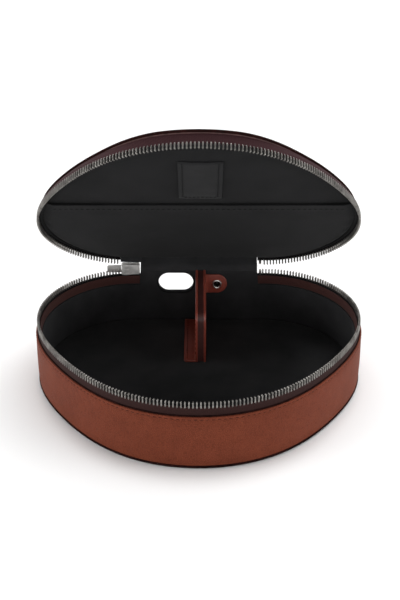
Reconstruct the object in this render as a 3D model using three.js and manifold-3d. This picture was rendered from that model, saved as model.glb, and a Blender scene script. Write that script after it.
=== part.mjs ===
// Zipped leather carrying case for over-ear headphones, shown with its lid part way open.
//
// Millimetres. +X is to the right, +Y points to the hinge at the back, +Z is up.
// The origin is in the middle of the flat underside.
// The case is one closed outline, narrow at the front and flat at the back, built up
// in layers: leather outside, board in the middle, black lining inside.
// The lid is drawn closed, in the same coordinates as the base, and its group is then
// turned about the hinge axis.

import * as THREE from 'three';
import { mergeVertices } from 'three/addons/utils/BufferGeometryUtils.js';
import Module from 'manifold-3d';

const wasm = await Module();
wasm.setup();

// ---------------------------------------------------------------- driving dimensions

const WIDTH = 215;
const DEPTH = 185;
const FRONT_REACH = 116; // from the widest line to the front
const BACK_FLAT_WIDTH = 92; // straight run along the back
const LEAN = 0.039; // how much the front flanks fall inside a plain ellipse
const LEAN_TO_SIDES = 0.025; // how much more they do so near the sides

const RIM_HEIGHT = 44; // where the two rows of teeth meet
const CLOSED_HEIGHT = 55;
const LID_OPEN_DEG = 45;
const HINGE_BEHIND_WALL = 3;
const HINGE_HEIGHT = 41;
const HINGE_WIDTH = 84;
const HINGE_RISE = 2.6; // the back wall stands this much above the hinge axis

const LEATHER = 1.5;
const BOARD = 1.2;
const LINING = 0.8;
const GAP = 0.3; // air left between pieces that touch

const ROW_GAP = 1.6; // between the two rows, where the slider's wedge passes
const TOOTH_LENGTH = 3.2; // the part of a tooth that the other row doesn't mesh with
const TOOTH_DEPTH = 2.3; // through the chain, from inside to outside
const TAPE = 1.0;
const CHAIN_INSET = 1.8; // middle of the chain, measured in from the outline
const WALL_TOP = 35;
const LINING_TOP = 33;
const FACING_TOP = 38.6;
const TAPE_TOP = 39.7;
const EDGE_BULGE = 0.3; // how far the edge bindings stand out of the outline
const LID_TAPER = 4; // how far the top of the lid is drawn in at the sides
const LID_NOSE = 0.5; // and how far it stands out at the front

const CORNERS = 64; // points round the whole outline

// ---------------------------------------------------------------- derived sizes

const HALF_WIDTH = WIDTH / 2;
const BACK_REACH = DEPTH - FRONT_REACH;
const BACK_Y = DEPTH / 2;
const WIDEST_Y = BACK_Y - BACK_REACH;
const BACK_FLAT = BACK_FLAT_WIDTH / 2;
const HINGE_Y = BACK_Y + HINGE_BEHIND_WALL;
const HINGE_HALF = HINGE_WIDTH / 2;
const BOARD_INSET = LEATHER + GAP;
const LINING_INSET = BOARD_INSET + BOARD + GAP;
const INNER_INSET = LINING_INSET + LINING;
const FLOOR_BOARD_Z = LEATHER + GAP;
const FLOOR_PAD_Z = FLOOR_BOARD_Z + BOARD + GAP;
const FLOOR_PAD = 1.3;
const FLOOR_Z = FLOOR_PAD_Z + FLOOR_PAD;
const RISER_TOP = HINGE_HEIGHT + HINGE_RISE;

// ---------------------------------------------------------------- materials

const look = (color, roughness, metalness = 0) => ({ color, roughness, metalness });
const TAN_LEATHER = look(0x8a4630, 0.6);
const BROWN_LEATHER = look(0x6e3226, 0.6);
const DARK_EDGE = look(0x2a1b1a, 0.5);
const DARK_TAPE = look(0x3a2828, 0.8);
const BLACK_LINING = look(0x262628, 0.95);
const GREY_BOARD = look(0x77716a, 0.9);
const NICKEL = look(0xa8a5a2, 0.3, 1);
const MAGNET = look(0x8d9095, 0.35, 1);
const BLACK_TRIM = look(0x161617, 0.6);

// ---------------------------------------------------------------- outline

// Point of the outline at angle t: 0 is the right side, a quarter turn is the back.
function outlinePoint(t) {
  const c = Math.cos(t);
  const s = Math.sin(t);
  if (s >= 0) {
    const side = Math.abs(c) < 1e-9 ? 0 : Math.sign(c);
    const corner = HALF_WIDTH - BACK_FLAT;
    return new THREE.Vector2(side * BACK_FLAT + corner * c, WIDEST_Y + BACK_REACH * s);
  }
  const lean = 1 - Math.sin(2 * t) ** 2 * (LEAN + LEAN_TO_SIDES * Math.cos(2 * t));
  return new THREE.Vector2(HALF_WIDTH * c * lean, WIDEST_Y + FRONT_REACH * s * lean);
}

// The same point moved inwards, square to the outline.
function insetPoint(t, inset) {
  const point = outlinePoint(t);
  if (Math.abs(point.y - BACK_Y) < 1e-9) {
    return new THREE.Vector2(point.x, BACK_Y - inset);
  }
  const step = 1e-4;
  const along = outlinePoint(t + step).sub(outlinePoint(t - step)).normalize();
  return point.add(new THREE.Vector2(-along.y, along.x).multiplyScalar(inset));
}

// How much further in the top of the lid is at angle t than the case below it.
function lidTaper(t) {
  const across = Math.abs(Math.cos(t));
  if (Math.sin(t) >= 0) {
    return LID_TAPER * THREE.MathUtils.smoothstep(across, 0, 0.6);
  }
  const [noseEnd, sideStart] = [20, 70];
  const share = THREE.MathUtils.smoothstep(HALF_WIDTH * across, noseEnd, sideStart);
  return share * (LID_TAPER + LID_NOSE) - LID_NOSE;
}

const straight = () => 0;

function loop(inset, taper = straight) {
  const points = [];
  for (let i = 0; i < CORNERS; i += 1) {
    const t = (2 * Math.PI * i) / CORNERS;
    points.push(insetPoint(t, inset + taper(t)));
  }
  return points;
}

// Open line from the back at x = right, round the front, to the back at x = left.
function rimLine(inset, right, left) {
  const angleAt = (x) => Math.acos(Math.max(0, Math.abs(x) - BACK_FLAT) / (HALF_WIDTH - BACK_FLAT));
  const edge = 1e-3;
  const start = Math.min(angleAt(right), Math.PI / 2 - edge);
  const end = -Math.PI - Math.min(angleAt(left), Math.PI / 2 - edge);
  const points = [];
  if (right < BACK_FLAT) {
    points.push(new THREE.Vector2(right, BACK_Y - inset));
  }
  const steps = CORNERS - 4;
  for (let i = 0; i <= steps; i += 1) {
    points.push(insetPoint(start + ((end - start) * i) / steps, inset));
  }
  if (-left < BACK_FLAT) {
    points.push(new THREE.Vector2(left, BACK_Y - inset));
  }
  return points;
}

// ---------------------------------------------------------------- geometry helpers

function prism(shape, bottom, top, bevel = 0) {
  const geometry = new THREE.ExtrudeGeometry(shape, {
    depth: top - bottom - 2 * bevel,
    bevelEnabled: bevel > 0,
    bevelThickness: bevel,
    bevelSize: bevel,
    bevelOffset: -bevel,
    bevelSegments: 2,
    curveSegments: 8,
  });
  return geometry.translate(0, 0, bottom + bevel);
}

const panel = (inset, bottom, top, bevel = 0, taper = straight) =>
  prism(new THREE.Shape(loop(inset, taper)), bottom, top, bevel);

function ring(outer, inner, bottom, top, taper = straight) {
  const shape = new THREE.Shape(loop(outer, taper));
  shape.holes.push(new THREE.Path(loop(inner, taper)));
  return prism(shape, bottom, top);
}

function strip(outer, inner, right, left, bottom, top) {
  const points = [...rimLine(outer, right, left), ...rimLine(inner, right, left).reverse()];
  return prism(new THREE.Shape(points), bottom, top);
}

function box(x0, x1, y0, y1, z0, z1) {
  const geometry = new THREE.BoxGeometry(x1 - x0, y1 - y0, z1 - z0);
  return geometry.translate((x0 + x1) / 2, (y0 + y1) / 2, (z0 + z1) / 2);
}

function polygon(points) {
  return new THREE.Shape(points.map(([x, y]) => new THREE.Vector2(x, y)));
}

// An outline drawn in Y and Z, given a thickness along X.
function sideProfile(shape, x0, x1) {
  const geometry = prism(shape, x0, x1);
  return geometry.rotateX(Math.PI / 2).rotateZ(Math.PI / 2);
}

// An outline drawn in X and Z, given a thickness along Y.
function frontProfile(shape, y0, y1) {
  const geometry = prism(shape, -y1, -y0);
  return geometry.rotateX(Math.PI / 2);
}

function stadium(centreX, centreZ, length, height) {
  const reach = (length - height) / 2;
  const shape = new THREE.Shape();
  shape.absarc(centreX + reach, centreZ, height / 2, -Math.PI / 2, Math.PI / 2, false);
  shape.absarc(centreX - reach, centreZ, height / 2, Math.PI / 2, (3 * Math.PI) / 2, false);
  return shape;
}

function rod(radius, y0, y1, x, z, sides = 24) {
  const geometry = new THREE.CylinderGeometry(radius, radius, y1 - y0, sides);
  return geometry.translate(x, (y0 + y1) / 2, z);
}

// ---------------------------------------------------------------- joins and cuts

function toSolid(geometry) {
  const bare = geometry.clone();
  bare.deleteAttribute('normal');
  bare.deleteAttribute('uv');
  const merged = mergeVertices(bare, 1e-5);
  const mesh = new wasm.Mesh({
    numProp: 3,
    vertProperties: new Float32Array(merged.attributes.position.array),
    triVerts: new Uint32Array(merged.index.array),
  });
  return new wasm.Manifold(mesh);
}

function toGeometry(solid) {
  const mesh = solid.getMesh();
  const geometry = new THREE.BufferGeometry();
  geometry.setAttribute('position', new THREE.BufferAttribute(mesh.vertProperties, 3));
  geometry.setIndex(new THREE.BufferAttribute(mesh.triVerts, 1));
  geometry.computeVertexNormals();
  return geometry;
}

function join(...geometries) {
  const [first, ...others] = geometries.map(toSolid);
  return toGeometry(others.reduce((sum, next) => sum.add(next), first));
}

function cut(geometry, ...tools) {
  return toGeometry(tools.map(toSolid).reduce((rest, tool) => rest.subtract(tool), toSolid(geometry)));
}

function add(group, name, geometry, material) {
  const mesh = new THREE.Mesh(geometry, new THREE.MeshStandardMaterial(material));
  mesh.name = name;
  group.add(mesh);
}

// ---------------------------------------------------------------- cable slot and divider sizes

const SLOT_X = -16.6;
const SLOT_Z = 34.7;
const SLOT_LENGTH = 26.9;
const SLOT_HEIGHT = 16.4;
const SLOT_RIM = 0.6;

const FIN_X = 1.3;
const FIN_THICKNESS = 7;
const FIN_FRONT_Y = 24;
const FIN_BACK_Y = BACK_Y - INNER_INSET - GAP;
const FIN_TOP_FRONT = 38;
const FIN_TOP_BACK = 45;
const FIN_BOTTOM = FLOOR_Z + GAP;
const FLANGE_WIDTH = 8;
const TAB_LENGTH = 15.5;
const TAB_HEIGHT = 14.4;
const TAB_Z = 34.4;
const RIVET_X = 13;
const RIVET_RADIUS = 3;
const SHANK_RADIUS = 1.2;
const SHANK_HOLE = 1.5;

const finLeft = FIN_X - FIN_THICKNESS / 2;
const finRight = FIN_X + FIN_THICKNESS / 2;

// ---------------------------------------------------------------- base

// A wall that stands a little higher along the hinge, pierced by the cable slot.
function baseWall(outer, inner, bottom, top, ...holes) {
  const plain = ring(outer, inner, bottom, top);
  const overlap = 2;
  const riser = box(-HINGE_HALF, HINGE_HALF, BACK_Y - inner, BACK_Y - outer, top - overlap, RISER_TOP);
  const slot = frontProfile(
    stadium(SLOT_X, SLOT_Z, SLOT_LENGTH, SLOT_HEIGHT),
    BACK_Y - INNER_INSET - 1,
    BACK_Y + 1,
  );
  return cut(join(plain, riser), slot, ...holes);
}

function buildBase(group) {
  const shankHole = () => rod(SHANK_HOLE, BACK_Y - INNER_INSET - 1, BACK_Y - LEATHER, RIVET_X, TAB_Z);
  const bindingTop = 2.1;

  add(group, 'base_bottom_leather', panel(BOARD_INSET, 0, LEATHER), TAN_LEATHER);
  add(group, 'base_edge_binding', ring(-EDGE_BULGE, LEATHER, GAP, bindingTop), DARK_EDGE);
  add(group, 'base_wall_leather', baseWall(0, LEATHER, bindingTop + GAP, WALL_TOP), TAN_LEATHER);
  add(group, 'base_floor_board', panel(BOARD_INSET, FLOOR_BOARD_Z, FLOOR_BOARD_Z + BOARD), GREY_BOARD);
  add(
    group,
    'base_wall_board',
    baseWall(BOARD_INSET, BOARD_INSET + BOARD, FLOOR_PAD_Z, WALL_TOP - GAP, shankHole()),
    GREY_BOARD,
  );
  add(group, 'base_floor_pad', panel(LINING_INSET, FLOOR_PAD_Z, FLOOR_Z), BLACK_LINING);
  add(
    group,
    'base_wall_lining',
    baseWall(LINING_INSET, INNER_INSET, FLOOR_Z + GAP, LINING_TOP, shankHole()),
    BLACK_LINING,
  );

  const facingLine = [LINING_INSET - 0.6, INNER_INSET - 0.3];
  add(
    group,
    'base_rim_facing',
    strip(...facingLine, HINGE_HALF + GAP, -HINGE_HALF - GAP, WALL_TOP + GAP, FACING_TOP),
    BROWN_LEATHER,
  );

  const outerRim = frontProfile(
    stadium(SLOT_X, SLOT_Z, SLOT_LENGTH - 2 * GAP, SLOT_HEIGHT - 2 * GAP),
    BACK_Y - INNER_INSET,
    BACK_Y,
  );
  const opening = frontProfile(
    stadium(SLOT_X, SLOT_Z, SLOT_LENGTH - 2 * (GAP + SLOT_RIM), SLOT_HEIGHT - 2 * (GAP + SLOT_RIM)),
    BACK_Y - INNER_INSET - 1,
    BACK_Y + 1,
  );
  add(group, 'cable_slot_rim', cut(outerRim, opening), BLACK_TRIM);
}

// ---------------------------------------------------------------- zipper halves

const CHAIN_RIGHT = HINGE_HALF + 3.4;
const STOP_LENGTH = 1.9;
const TEETH_OUT = CHAIN_INSET - TOOTH_DEPTH / 2;
const TEETH_IN = CHAIN_INSET + TOOTH_DEPTH / 2;
const TAPE_OUT = CHAIN_INSET - TAPE / 2;
const TAPE_IN = CHAIN_INSET + TAPE / 2;

function zipperHalf(group, side, left, teethZ, tapeZ) {
  add(
    group,
    `${side}_zipper_tape`,
    strip(TAPE_OUT, TAPE_IN, HINGE_HALF + GAP, left, ...tapeZ),
    DARK_TAPE,
  );
  add(
    group,
    `${side}_zipper_teeth`,
    strip(TEETH_OUT, TEETH_IN, CHAIN_RIGHT, left, ...teethZ),
    NICKEL,
  );
  const stopRight = CHAIN_RIGHT - GAP;
  add(
    group,
    `${side}_zipper_stop`,
    box(stopRight - STOP_LENGTH, stopRight, BACK_Y - TEETH_IN, BACK_Y - TEETH_OUT, ...teethZ),
    NICKEL,
  );
}

// ---------------------------------------------------------------- divider

function buildDivider(group) {
  const bend = 4;
  const finOutline = (margin) =>
    polygon([
      [FIN_FRONT_Y + margin, FIN_BOTTOM + margin],
      [FIN_BACK_Y - margin, FIN_BOTTOM + margin],
      [FIN_BACK_Y - margin, FIN_TOP_BACK - margin],
      [FIN_FRONT_Y + bend + margin, FIN_TOP_FRONT + bend - 1 - margin],
      [FIN_FRONT_Y + 1 + margin, FIN_TOP_FRONT + 1 - margin],
      [FIN_FRONT_Y + margin, FIN_TOP_FRONT - 2 - margin],
    ]);
  const leftSkin = sideProfile(finOutline(0), finLeft, finLeft + LEATHER);
  const rightSkin = sideProfile(finOutline(0), finRight - LEATHER, finRight);
  const overlap = 0.6;
  const flange = box(
    finLeft - FLANGE_WIDTH,
    finLeft + overlap,
    FIN_FRONT_Y,
    FIN_BACK_Y - 2,
    FIN_BOTTOM,
    FIN_BOTTOM + LEATHER,
  );
  const tabEnd = finRight + TAB_LENGTH;
  const tabRound = rod(TAB_HEIGHT / 2, FIN_BACK_Y - LEATHER, FIN_BACK_Y, tabEnd - TAB_HEIGHT / 2, TAB_Z);
  const tabPlate = box(
    finRight - overlap,
    tabEnd - TAB_HEIGHT / 2,
    FIN_BACK_Y - LEATHER,
    FIN_BACK_Y,
    TAB_Z - TAB_HEIGHT / 2,
    TAB_Z + TAB_HEIGHT / 2,
  );
  const tabHole = rod(SHANK_HOLE, FIN_BACK_Y - LEATHER - 1, FIN_BACK_Y + 1, RIVET_X, TAB_Z);
  add(group, 'divider_left_leather', join(leftSkin, flange), BROWN_LEATHER);
  add(group, 'divider_right_leather', cut(join(rightSkin, tabPlate, tabRound), tabHole), BROWN_LEATHER);

  const coreLeft = finLeft + LEATHER + GAP;
  const coreRight = finRight - LEATHER - GAP;
  const magnetRadius = 8;
  const magnetZ = 23;
  const magnets = { front: 44, rear: 70 };
  const coreMargin = 0.8;
  const disc = (radius, width, y) => {
    const geometry = new THREE.CylinderGeometry(radius, radius, width, 24);
    return geometry.rotateZ(Math.PI / 2).translate(FIN_X, y, magnetZ);
  };
  const coreWidth = coreRight - coreLeft;
  const pockets = Object.values(magnets).map((y) => disc(magnetRadius + GAP, 2 * coreWidth, y));
  const core = sideProfile(finOutline(coreMargin), coreLeft, coreRight);
  add(group, 'divider_core', cut(core, ...pockets), GREY_BOARD);
  for (const [place, y] of Object.entries(magnets)) {
    add(group, `divider_magnet_${place}`, disc(magnetRadius, coreWidth, y), MAGNET);
  }

  const tabFace = FIN_BACK_Y - LEATHER - GAP;
  const head = rod(RIVET_RADIUS, tabFace - 1.1, tabFace, RIVET_X, TAB_Z);
  const shank = rod(SHANK_RADIUS, tabFace - 0.5, BACK_Y - BOARD_INSET, RIVET_X, TAB_Z);
  const dimple = rod(SHANK_RADIUS, tabFace - 2, tabFace - 0.6, RIVET_X, TAB_Z);
  add(group, 'divider_rivet', cut(join(head, shank), dimple), NICKEL);
}

// ---------------------------------------------------------------- lid, drawn closed

const HALF_GAP = ROW_GAP / 2;
const LID_TEETH_Z = [RIM_HEIGHT + HALF_GAP, RIM_HEIGHT + HALF_GAP + TOOTH_LENGTH];
const BASE_TEETH_Z = [RIM_HEIGHT - HALF_GAP - TOOTH_LENGTH, RIM_HEIGHT - HALF_GAP];
const LID_LEATHER = 1.8;
const LID_LEATHER_Z = CLOSED_HEIGHT - LID_LEATHER;
const LID_BINDING_Z = [LID_LEATHER_Z - 0.6, CLOSED_HEIGHT - GAP];
const LID_BOARD = 1.6;
const LID_BOARD_Z = LID_LEATHER_Z - GAP - LID_BOARD;
const LID_LINING = 1.2;
const LID_LINING_Z = LID_BOARD_Z - GAP - LID_LINING;
const POCKET = 1.0;
const POCKET_Z = LID_LINING_Z - GAP - POCKET;
const LID_BOARD_INSET = 3;
const LID_LINING_INSET = 4.6;
const POCKET_INSET = 5.4;
const POCKET_MOUTH_Y = BACK_Y - 98;
const SLEEVE_X = 1;
const SLEEVE_WIDTH = 27;
const SLEEVE_Y = [BACK_Y - 156, BACK_Y - 105.5];
const LID_CHAIN_LEFT = -57; // short of the hinge, so that the pull tab swings clear when open

// The half of the lid next to the hinge, from the straight mouth round the back.
function pocketShape() {
  const round = [];
  for (let i = 0; i < CORNERS; i += 1) {
    round.push(insetPoint(-Math.PI / 2 + (2 * Math.PI * i) / CORNERS, POCKET_INSET));
  }
  const kept = round.filter((point) => point.y > POCKET_MOUTH_Y);
  const mouth = (point) => new THREE.Vector2(point.x, POCKET_MOUTH_Y);
  return new THREE.Shape([mouth(kept[0]), ...kept, mouth(kept[kept.length - 1])]);
}

function buildLid(group) {
  const roundedEdge = 0.5;
  add(
    group,
    'lid_outer_leather',
    panel(LEATHER, LID_LEATHER_Z, CLOSED_HEIGHT, roundedEdge, lidTaper),
    TAN_LEATHER,
  );
  add(
    group,
    'lid_edge_binding',
    ring(-EDGE_BULGE, LEATHER - GAP, ...LID_BINDING_Z, lidTaper),
    DARK_EDGE,
  );
  add(
    group,
    'lid_board',
    panel(LID_BOARD_INSET, LID_BOARD_Z, LID_BOARD_Z + LID_BOARD, 0, lidTaper),
    GREY_BOARD,
  );
  add(
    group,
    'lid_lining',
    panel(LID_LINING_INSET, LID_LINING_Z, LID_LINING_Z + LID_LINING),
    BLACK_LINING,
  );
  add(group, 'lid_pocket_panel', prism(pocketShape(), POCKET_Z, POCKET_Z + POCKET), BLACK_LINING);
  add(
    group,
    'lid_accessory_sleeve',
    box(
      SLEEVE_X - SLEEVE_WIDTH / 2,
      SLEEVE_X + SLEEVE_WIDTH / 2,
      ...SLEEVE_Y,
      POCKET_Z,
      POCKET_Z + POCKET,
    ),
    BLACK_LINING,
  );
  const tapeTop = LID_BINDING_Z[0] - GAP;
  zipperHalf(group, 'lid', LID_CHAIN_LEFT, LID_TEETH_Z, [LID_TEETH_Z[1] + GAP, tapeTop]);
  add(
    group,
    'lid_lining_border',
    strip(
      TAPE_IN + GAP,
      LID_LINING_INSET - GAP,
      HINGE_HALF + GAP,
      LID_CHAIN_LEFT,
      POCKET_Z + POCKET,
      LID_BOARD_Z - GAP,
    ),
    BLACK_LINING,
  );
}

// ---------------------------------------------------------------- flexible hinge

// A strip with an even thickness that bends from straight up to the tilt of the lid.
function hingeStrip(start, end, thickness) {
  const tilt = THREE.MathUtils.degToRad(LID_OPEN_DEG);
  const reach = start.distanceTo(end) * 0.45;
  const curve = new THREE.CubicBezierCurve(
    start,
    new THREE.Vector2(start.x, start.y + reach),
    new THREE.Vector2(end.x - reach * Math.sin(tilt), end.y - reach * Math.cos(tilt)),
    end,
  );
  const steps = 8;
  const front = [];
  const back = [];
  for (let i = 0; i <= steps; i += 1) {
    const point = curve.getPoint(i / steps);
    const along = curve.getTangent(i / steps);
    const side = new THREE.Vector2(along.y, -along.x).multiplyScalar(thickness / 2);
    back.push(point.clone().add(side));
    front.push(point.clone().sub(side));
  }
  return sideProfile(new THREE.Shape([...back, ...front.reverse()]), -HINGE_HALF, HINGE_HALF);
}

// Where a point of the closed lid lies once the lid is open, as (y, z).
function openedPoint(y, z) {
  const tilt = THREE.MathUtils.degToRad(LID_OPEN_DEG);
  const dy = y - HINGE_Y;
  const dz = z - HINGE_HEIGHT;
  return new THREE.Vector2(
    HINGE_Y + dy * Math.cos(tilt) + dz * Math.sin(tilt),
    HINGE_HEIGHT - dy * Math.sin(tilt) + dz * Math.cos(tilt),
  );
}

function buildHinge(group) {
  const foot = RISER_TOP + GAP;
  const spineMiddle = BACK_Y - LEATHER / 2;
  add(
    group,
    'hinge_spine',
    hingeStrip(
      new THREE.Vector2(spineMiddle, foot),
      openedPoint(spineMiddle, LID_BINDING_Z[0] - GAP),
      LEATHER,
    ),
    TAN_LEATHER,
  );
  const liningMiddle = BACK_Y - INNER_INSET + LINING / 2;
  add(
    group,
    'hinge_lining',
    hingeStrip(
      new THREE.Vector2(liningMiddle, foot),
      openedPoint(liningMiddle, POCKET_Z + LINING / 2),
      LINING,
    ),
    BLACK_LINING,
  );
}

// ---------------------------------------------------------------- zipper slider

const SLIDER_X = -49.1;
const SLIDER_Z = 44.8;
const SLIDER_LENGTH = 13;
const SLIDER_HEIGHT = 6.8;
const SLIDER_PLATE = 1.1;
const CHANNEL = 3.3;
const WEDGE_LENGTH = 4;
const WEDGE_Z = [RIM_HEIGHT - HALF_GAP + GAP, RIM_HEIGHT + HALF_GAP - GAP];
const BRIDGE_THICKNESS = 0.8;
const PULL_LENGTH = 12.4;
const PULL_HEIGHT = 5.6;
const PULL_THICKNESS = 1;
const PULL_BAR_X = -4.6;
const PULL_DROP = 1.5; // the loose tab hangs a little below the middle of the slider

// The back corners of the outline are bent round this centre where they start.
const CORNER_RADIUS = (HALF_WIDTH - BACK_FLAT) ** 2 / BACK_REACH;
const CORNER_CENTRE = new THREE.Vector2(-BACK_FLAT, BACK_Y - CORNER_RADIUS);

function buildSlider(group) {
  const half = SLIDER_LENGTH / 2;
  const plateIn = CHANNEL / 2;
  const plateOut = plateIn + SLIDER_PLATE;
  const halfHeight = SLIDER_HEIGHT / 2;
  const overlap = 0.2;
  add(
    group,
    'slider_body',
    join(
      box(-half, half, plateIn, plateOut, -halfHeight, halfHeight),
      box(-half, half, -plateOut, -plateIn, -halfHeight, halfHeight),
      box(
        -half,
        -half + WEDGE_LENGTH,
        -plateIn - overlap,
        plateIn + overlap,
        ...WEDGE_Z.map((z) => z - SLIDER_Z),
      ),
    ),
    NICKEL,
  );

  const bridgeIn = plateOut + GAP;
  const barRoom = PULL_THICKNESS + 2 * GAP;
  const arch = bridgeIn + barRoom;
  const archOut = arch + BRIDGE_THICKNESS;
  const footLength = 0.9;
  const frontFoot = PULL_BAR_X - PULL_THICKNESS / 2 - GAP - footLength;
  const rearFoot = 2.6;
  const bridgeHalf = 0.8;
  add(
    group,
    'slider_bridge',
    join(
      box(frontFoot, rearFoot + footLength, arch, archOut, -bridgeHalf, bridgeHalf),
      box(frontFoot, frontFoot + footLength, bridgeIn, archOut - 0.1, -bridgeHalf, bridgeHalf),
      box(rearFoot, rearFoot + footLength, bridgeIn, archOut - 0.1, -bridgeHalf, bridgeHalf),
    ),
    NICKEL,
  );

  const pullY = bridgeIn + GAP + PULL_THICKNESS / 2;
  const pullHalf = PULL_HEIGHT / 2;
  const windowHalf = bridgeHalf + PULL_DROP;
  const windowEnd = PULL_BAR_X - 3.6;
  const tip = PULL_BAR_X - PULL_LENGTH;
  const outline = polygon([
    [PULL_BAR_X + PULL_THICKNESS / 2, -pullHalf],
    [PULL_BAR_X + PULL_THICKNESS / 2, pullHalf],
    [tip + 1, pullHalf],
    [tip, pullHalf - 1],
    [tip, -pullHalf + 1],
    [tip + 1, -pullHalf],
  ]);
  const frame = frontProfile(outline, pullY - PULL_THICKNESS / 2, pullY + PULL_THICKNESS / 2);
  const opening = box(
    windowEnd,
    PULL_BAR_X - PULL_THICKNESS / 2,
    pullY - 2,
    pullY + 2,
    -windowHalf,
    windowHalf,
  );
  add(group, 'pull_tab', cut(frame, opening).translate(0, 0, -PULL_DROP), NICKEL);
}

// ---------------------------------------------------------------- assembly

const headphoneCase = new THREE.Group();

buildBase(headphoneCase);
zipperHalf(headphoneCase, 'base', -HINGE_HALF - GAP, BASE_TEETH_Z, [WALL_TOP + GAP, TAPE_TOP]);
buildDivider(headphoneCase);
buildHinge(headphoneCase);

const lidTurn = new THREE.Group();
lidTurn.position.set(0, HINGE_Y, HINGE_HEIGHT);
lidTurn.rotation.x = -THREE.MathUtils.degToRad(LID_OPEN_DEG);
const lid = new THREE.Group();
lid.position.set(0, -HINGE_Y, -HINGE_HEIGHT);
buildLid(lid);
lidTurn.add(lid);
headphoneCase.add(lidTurn);

const slider = new THREE.Group();
const sliderRadius = CORNER_RADIUS - CHAIN_INSET;
const sliderTurn = Math.asin((CORNER_CENTRE.x - SLIDER_X) / sliderRadius);
slider.position.set(SLIDER_X, CORNER_CENTRE.y + sliderRadius * Math.cos(sliderTurn), SLIDER_Z);
slider.rotation.z = sliderTurn;
buildSlider(slider);
headphoneCase.add(slider);

export default headphoneCase;
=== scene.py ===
"""Looks of the headphone carrying case: leather, lining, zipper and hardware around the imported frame.

Shapes are written in millimetres in the frame's axes. The lid is described closed and then turned open.
"""

import math
import random

import bmesh
import bpy
import numpy as np
from mathutils import Matrix, Vector, noise


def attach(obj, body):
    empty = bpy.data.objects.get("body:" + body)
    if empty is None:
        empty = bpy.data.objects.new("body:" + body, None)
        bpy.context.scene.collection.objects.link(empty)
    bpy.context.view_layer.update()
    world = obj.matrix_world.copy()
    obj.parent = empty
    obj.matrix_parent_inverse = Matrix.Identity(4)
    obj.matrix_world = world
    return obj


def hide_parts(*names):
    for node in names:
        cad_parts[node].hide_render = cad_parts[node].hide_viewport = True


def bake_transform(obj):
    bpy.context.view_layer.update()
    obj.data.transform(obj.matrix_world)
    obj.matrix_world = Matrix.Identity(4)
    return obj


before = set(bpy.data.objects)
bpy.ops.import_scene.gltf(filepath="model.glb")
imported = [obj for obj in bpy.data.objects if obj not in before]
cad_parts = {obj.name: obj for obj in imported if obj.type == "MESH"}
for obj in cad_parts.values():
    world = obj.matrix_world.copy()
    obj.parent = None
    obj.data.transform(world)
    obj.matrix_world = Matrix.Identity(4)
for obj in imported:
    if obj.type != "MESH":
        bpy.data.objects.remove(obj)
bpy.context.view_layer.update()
scene = bpy.context.scene

MM = 0.001
rng = random.Random(11)

# ---- sizes, as in the CAD source

WIDTH, DEPTH = 215.0, 185.0
FRONT_REACH, BACK_FLAT = 116.0, 46.0
LEAN, LEAN_TO_SIDES = 0.039, 0.025
HALF_WIDTH = WIDTH / 2
BACK_REACH = DEPTH - FRONT_REACH
BACK_Y = DEPTH / 2
WIDEST_Y = BACK_Y - BACK_REACH
HINGE_Y, HINGE_Z, HINGE_HALF = BACK_Y + 3, 41.0, 42.0
LID_OPEN = math.radians(45)
CHAIN_INSET = 1.8
WALL_TOP, RISER_TOP = 35.0, 43.6
FLOOR_Z = 4.6
LINING_INSET, INNER_INSET = 3.3, 4.1
LID_CHAIN_LEFT = -57.0
CHAIN_RIGHT = 45.4
TOOTH_PITCH = 2.3
SLOT_X, SLOT_Z, SLOT_LENGTH, SLOT_HEIGHT = -16.6, 34.7, 26.9, 16.4
LID_TAPER, LID_NOSE = 4.0, 0.5

# ---- outline


def outline_point(t):
    c, s = math.cos(t), math.sin(t)
    if s >= 0:
        side = 0 if abs(c) < 1e-9 else math.copysign(1, c)
        return side * BACK_FLAT + (HALF_WIDTH - BACK_FLAT) * c, WIDEST_Y + BACK_REACH * s
    lean = 1 - math.sin(2 * t) ** 2 * (LEAN + LEAN_TO_SIDES * math.cos(2 * t))
    return HALF_WIDTH * c * lean, WIDEST_Y + FRONT_REACH * s * lean


def make_rim():
    """The outline as arrays over its length, from the middle of the back towards +X and round."""
    points, normals = [(0.0, BACK_Y)], [(0.0, -1.0)]
    steps, edge, tiny = 3000, 1e-4, 1e-5
    for i in range(steps + 1):
        t = math.pi / 2 - edge + (2 * edge - 2 * math.pi) * i / steps
        a, b = outline_point(t - tiny), outline_point(t + tiny)
        dx, dy = b[0] - a[0], b[1] - a[1]
        size = math.hypot(dx, dy)
        points.append(outline_point(t))
        normals.append((-dy / size, dx / size))
    points.append((0.0, BACK_Y))
    normals.append((0.0, -1.0))
    p, n = np.array(points), np.array(normals)
    s = np.concatenate([[0], np.cumsum(np.hypot(*np.diff(p, axis=0).T))])
    return s, p, n


RIM_S, RIM_P, RIM_N = make_rim()
RIM_LENGTH = float(RIM_S[-1])


def rim(s, inset=0.0):
    """(point, inward normal) of the outline at length s, moved in by inset."""
    s = s % RIM_LENGTH
    n = np.array([np.interp(s, RIM_S, RIM_N[:, k]) for k in (0, 1)])
    n /= np.hypot(*n)
    p = np.array([np.interp(s, RIM_S, RIM_P[:, k]) for k in (0, 1)])
    return p + n * inset, n


def length_at(x):
    """Length along the outline where the back edge or a back corner is at this x."""
    if x >= 0:
        half = slice(0, len(RIM_S) // 4)
        return float(np.interp(x, RIM_P[half, 0], RIM_S[half]))
    half = slice(3 * len(RIM_S) // 4, None)
    return float(np.interp(x, RIM_P[half, 0], RIM_S[half]))


def lid_point(p, angle=LID_OPEN):
    """Where a point of the closed lid lies once the lid is open. The opposite angle leads back."""
    dy, dz = p[1] - HINGE_Y, p[2] - HINGE_Z
    c, s = math.cos(angle), math.sin(angle)
    return p[0], HINGE_Y + dy * c + dz * s, HINGE_Z - dy * s + dz * c


# ---- materials


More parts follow.
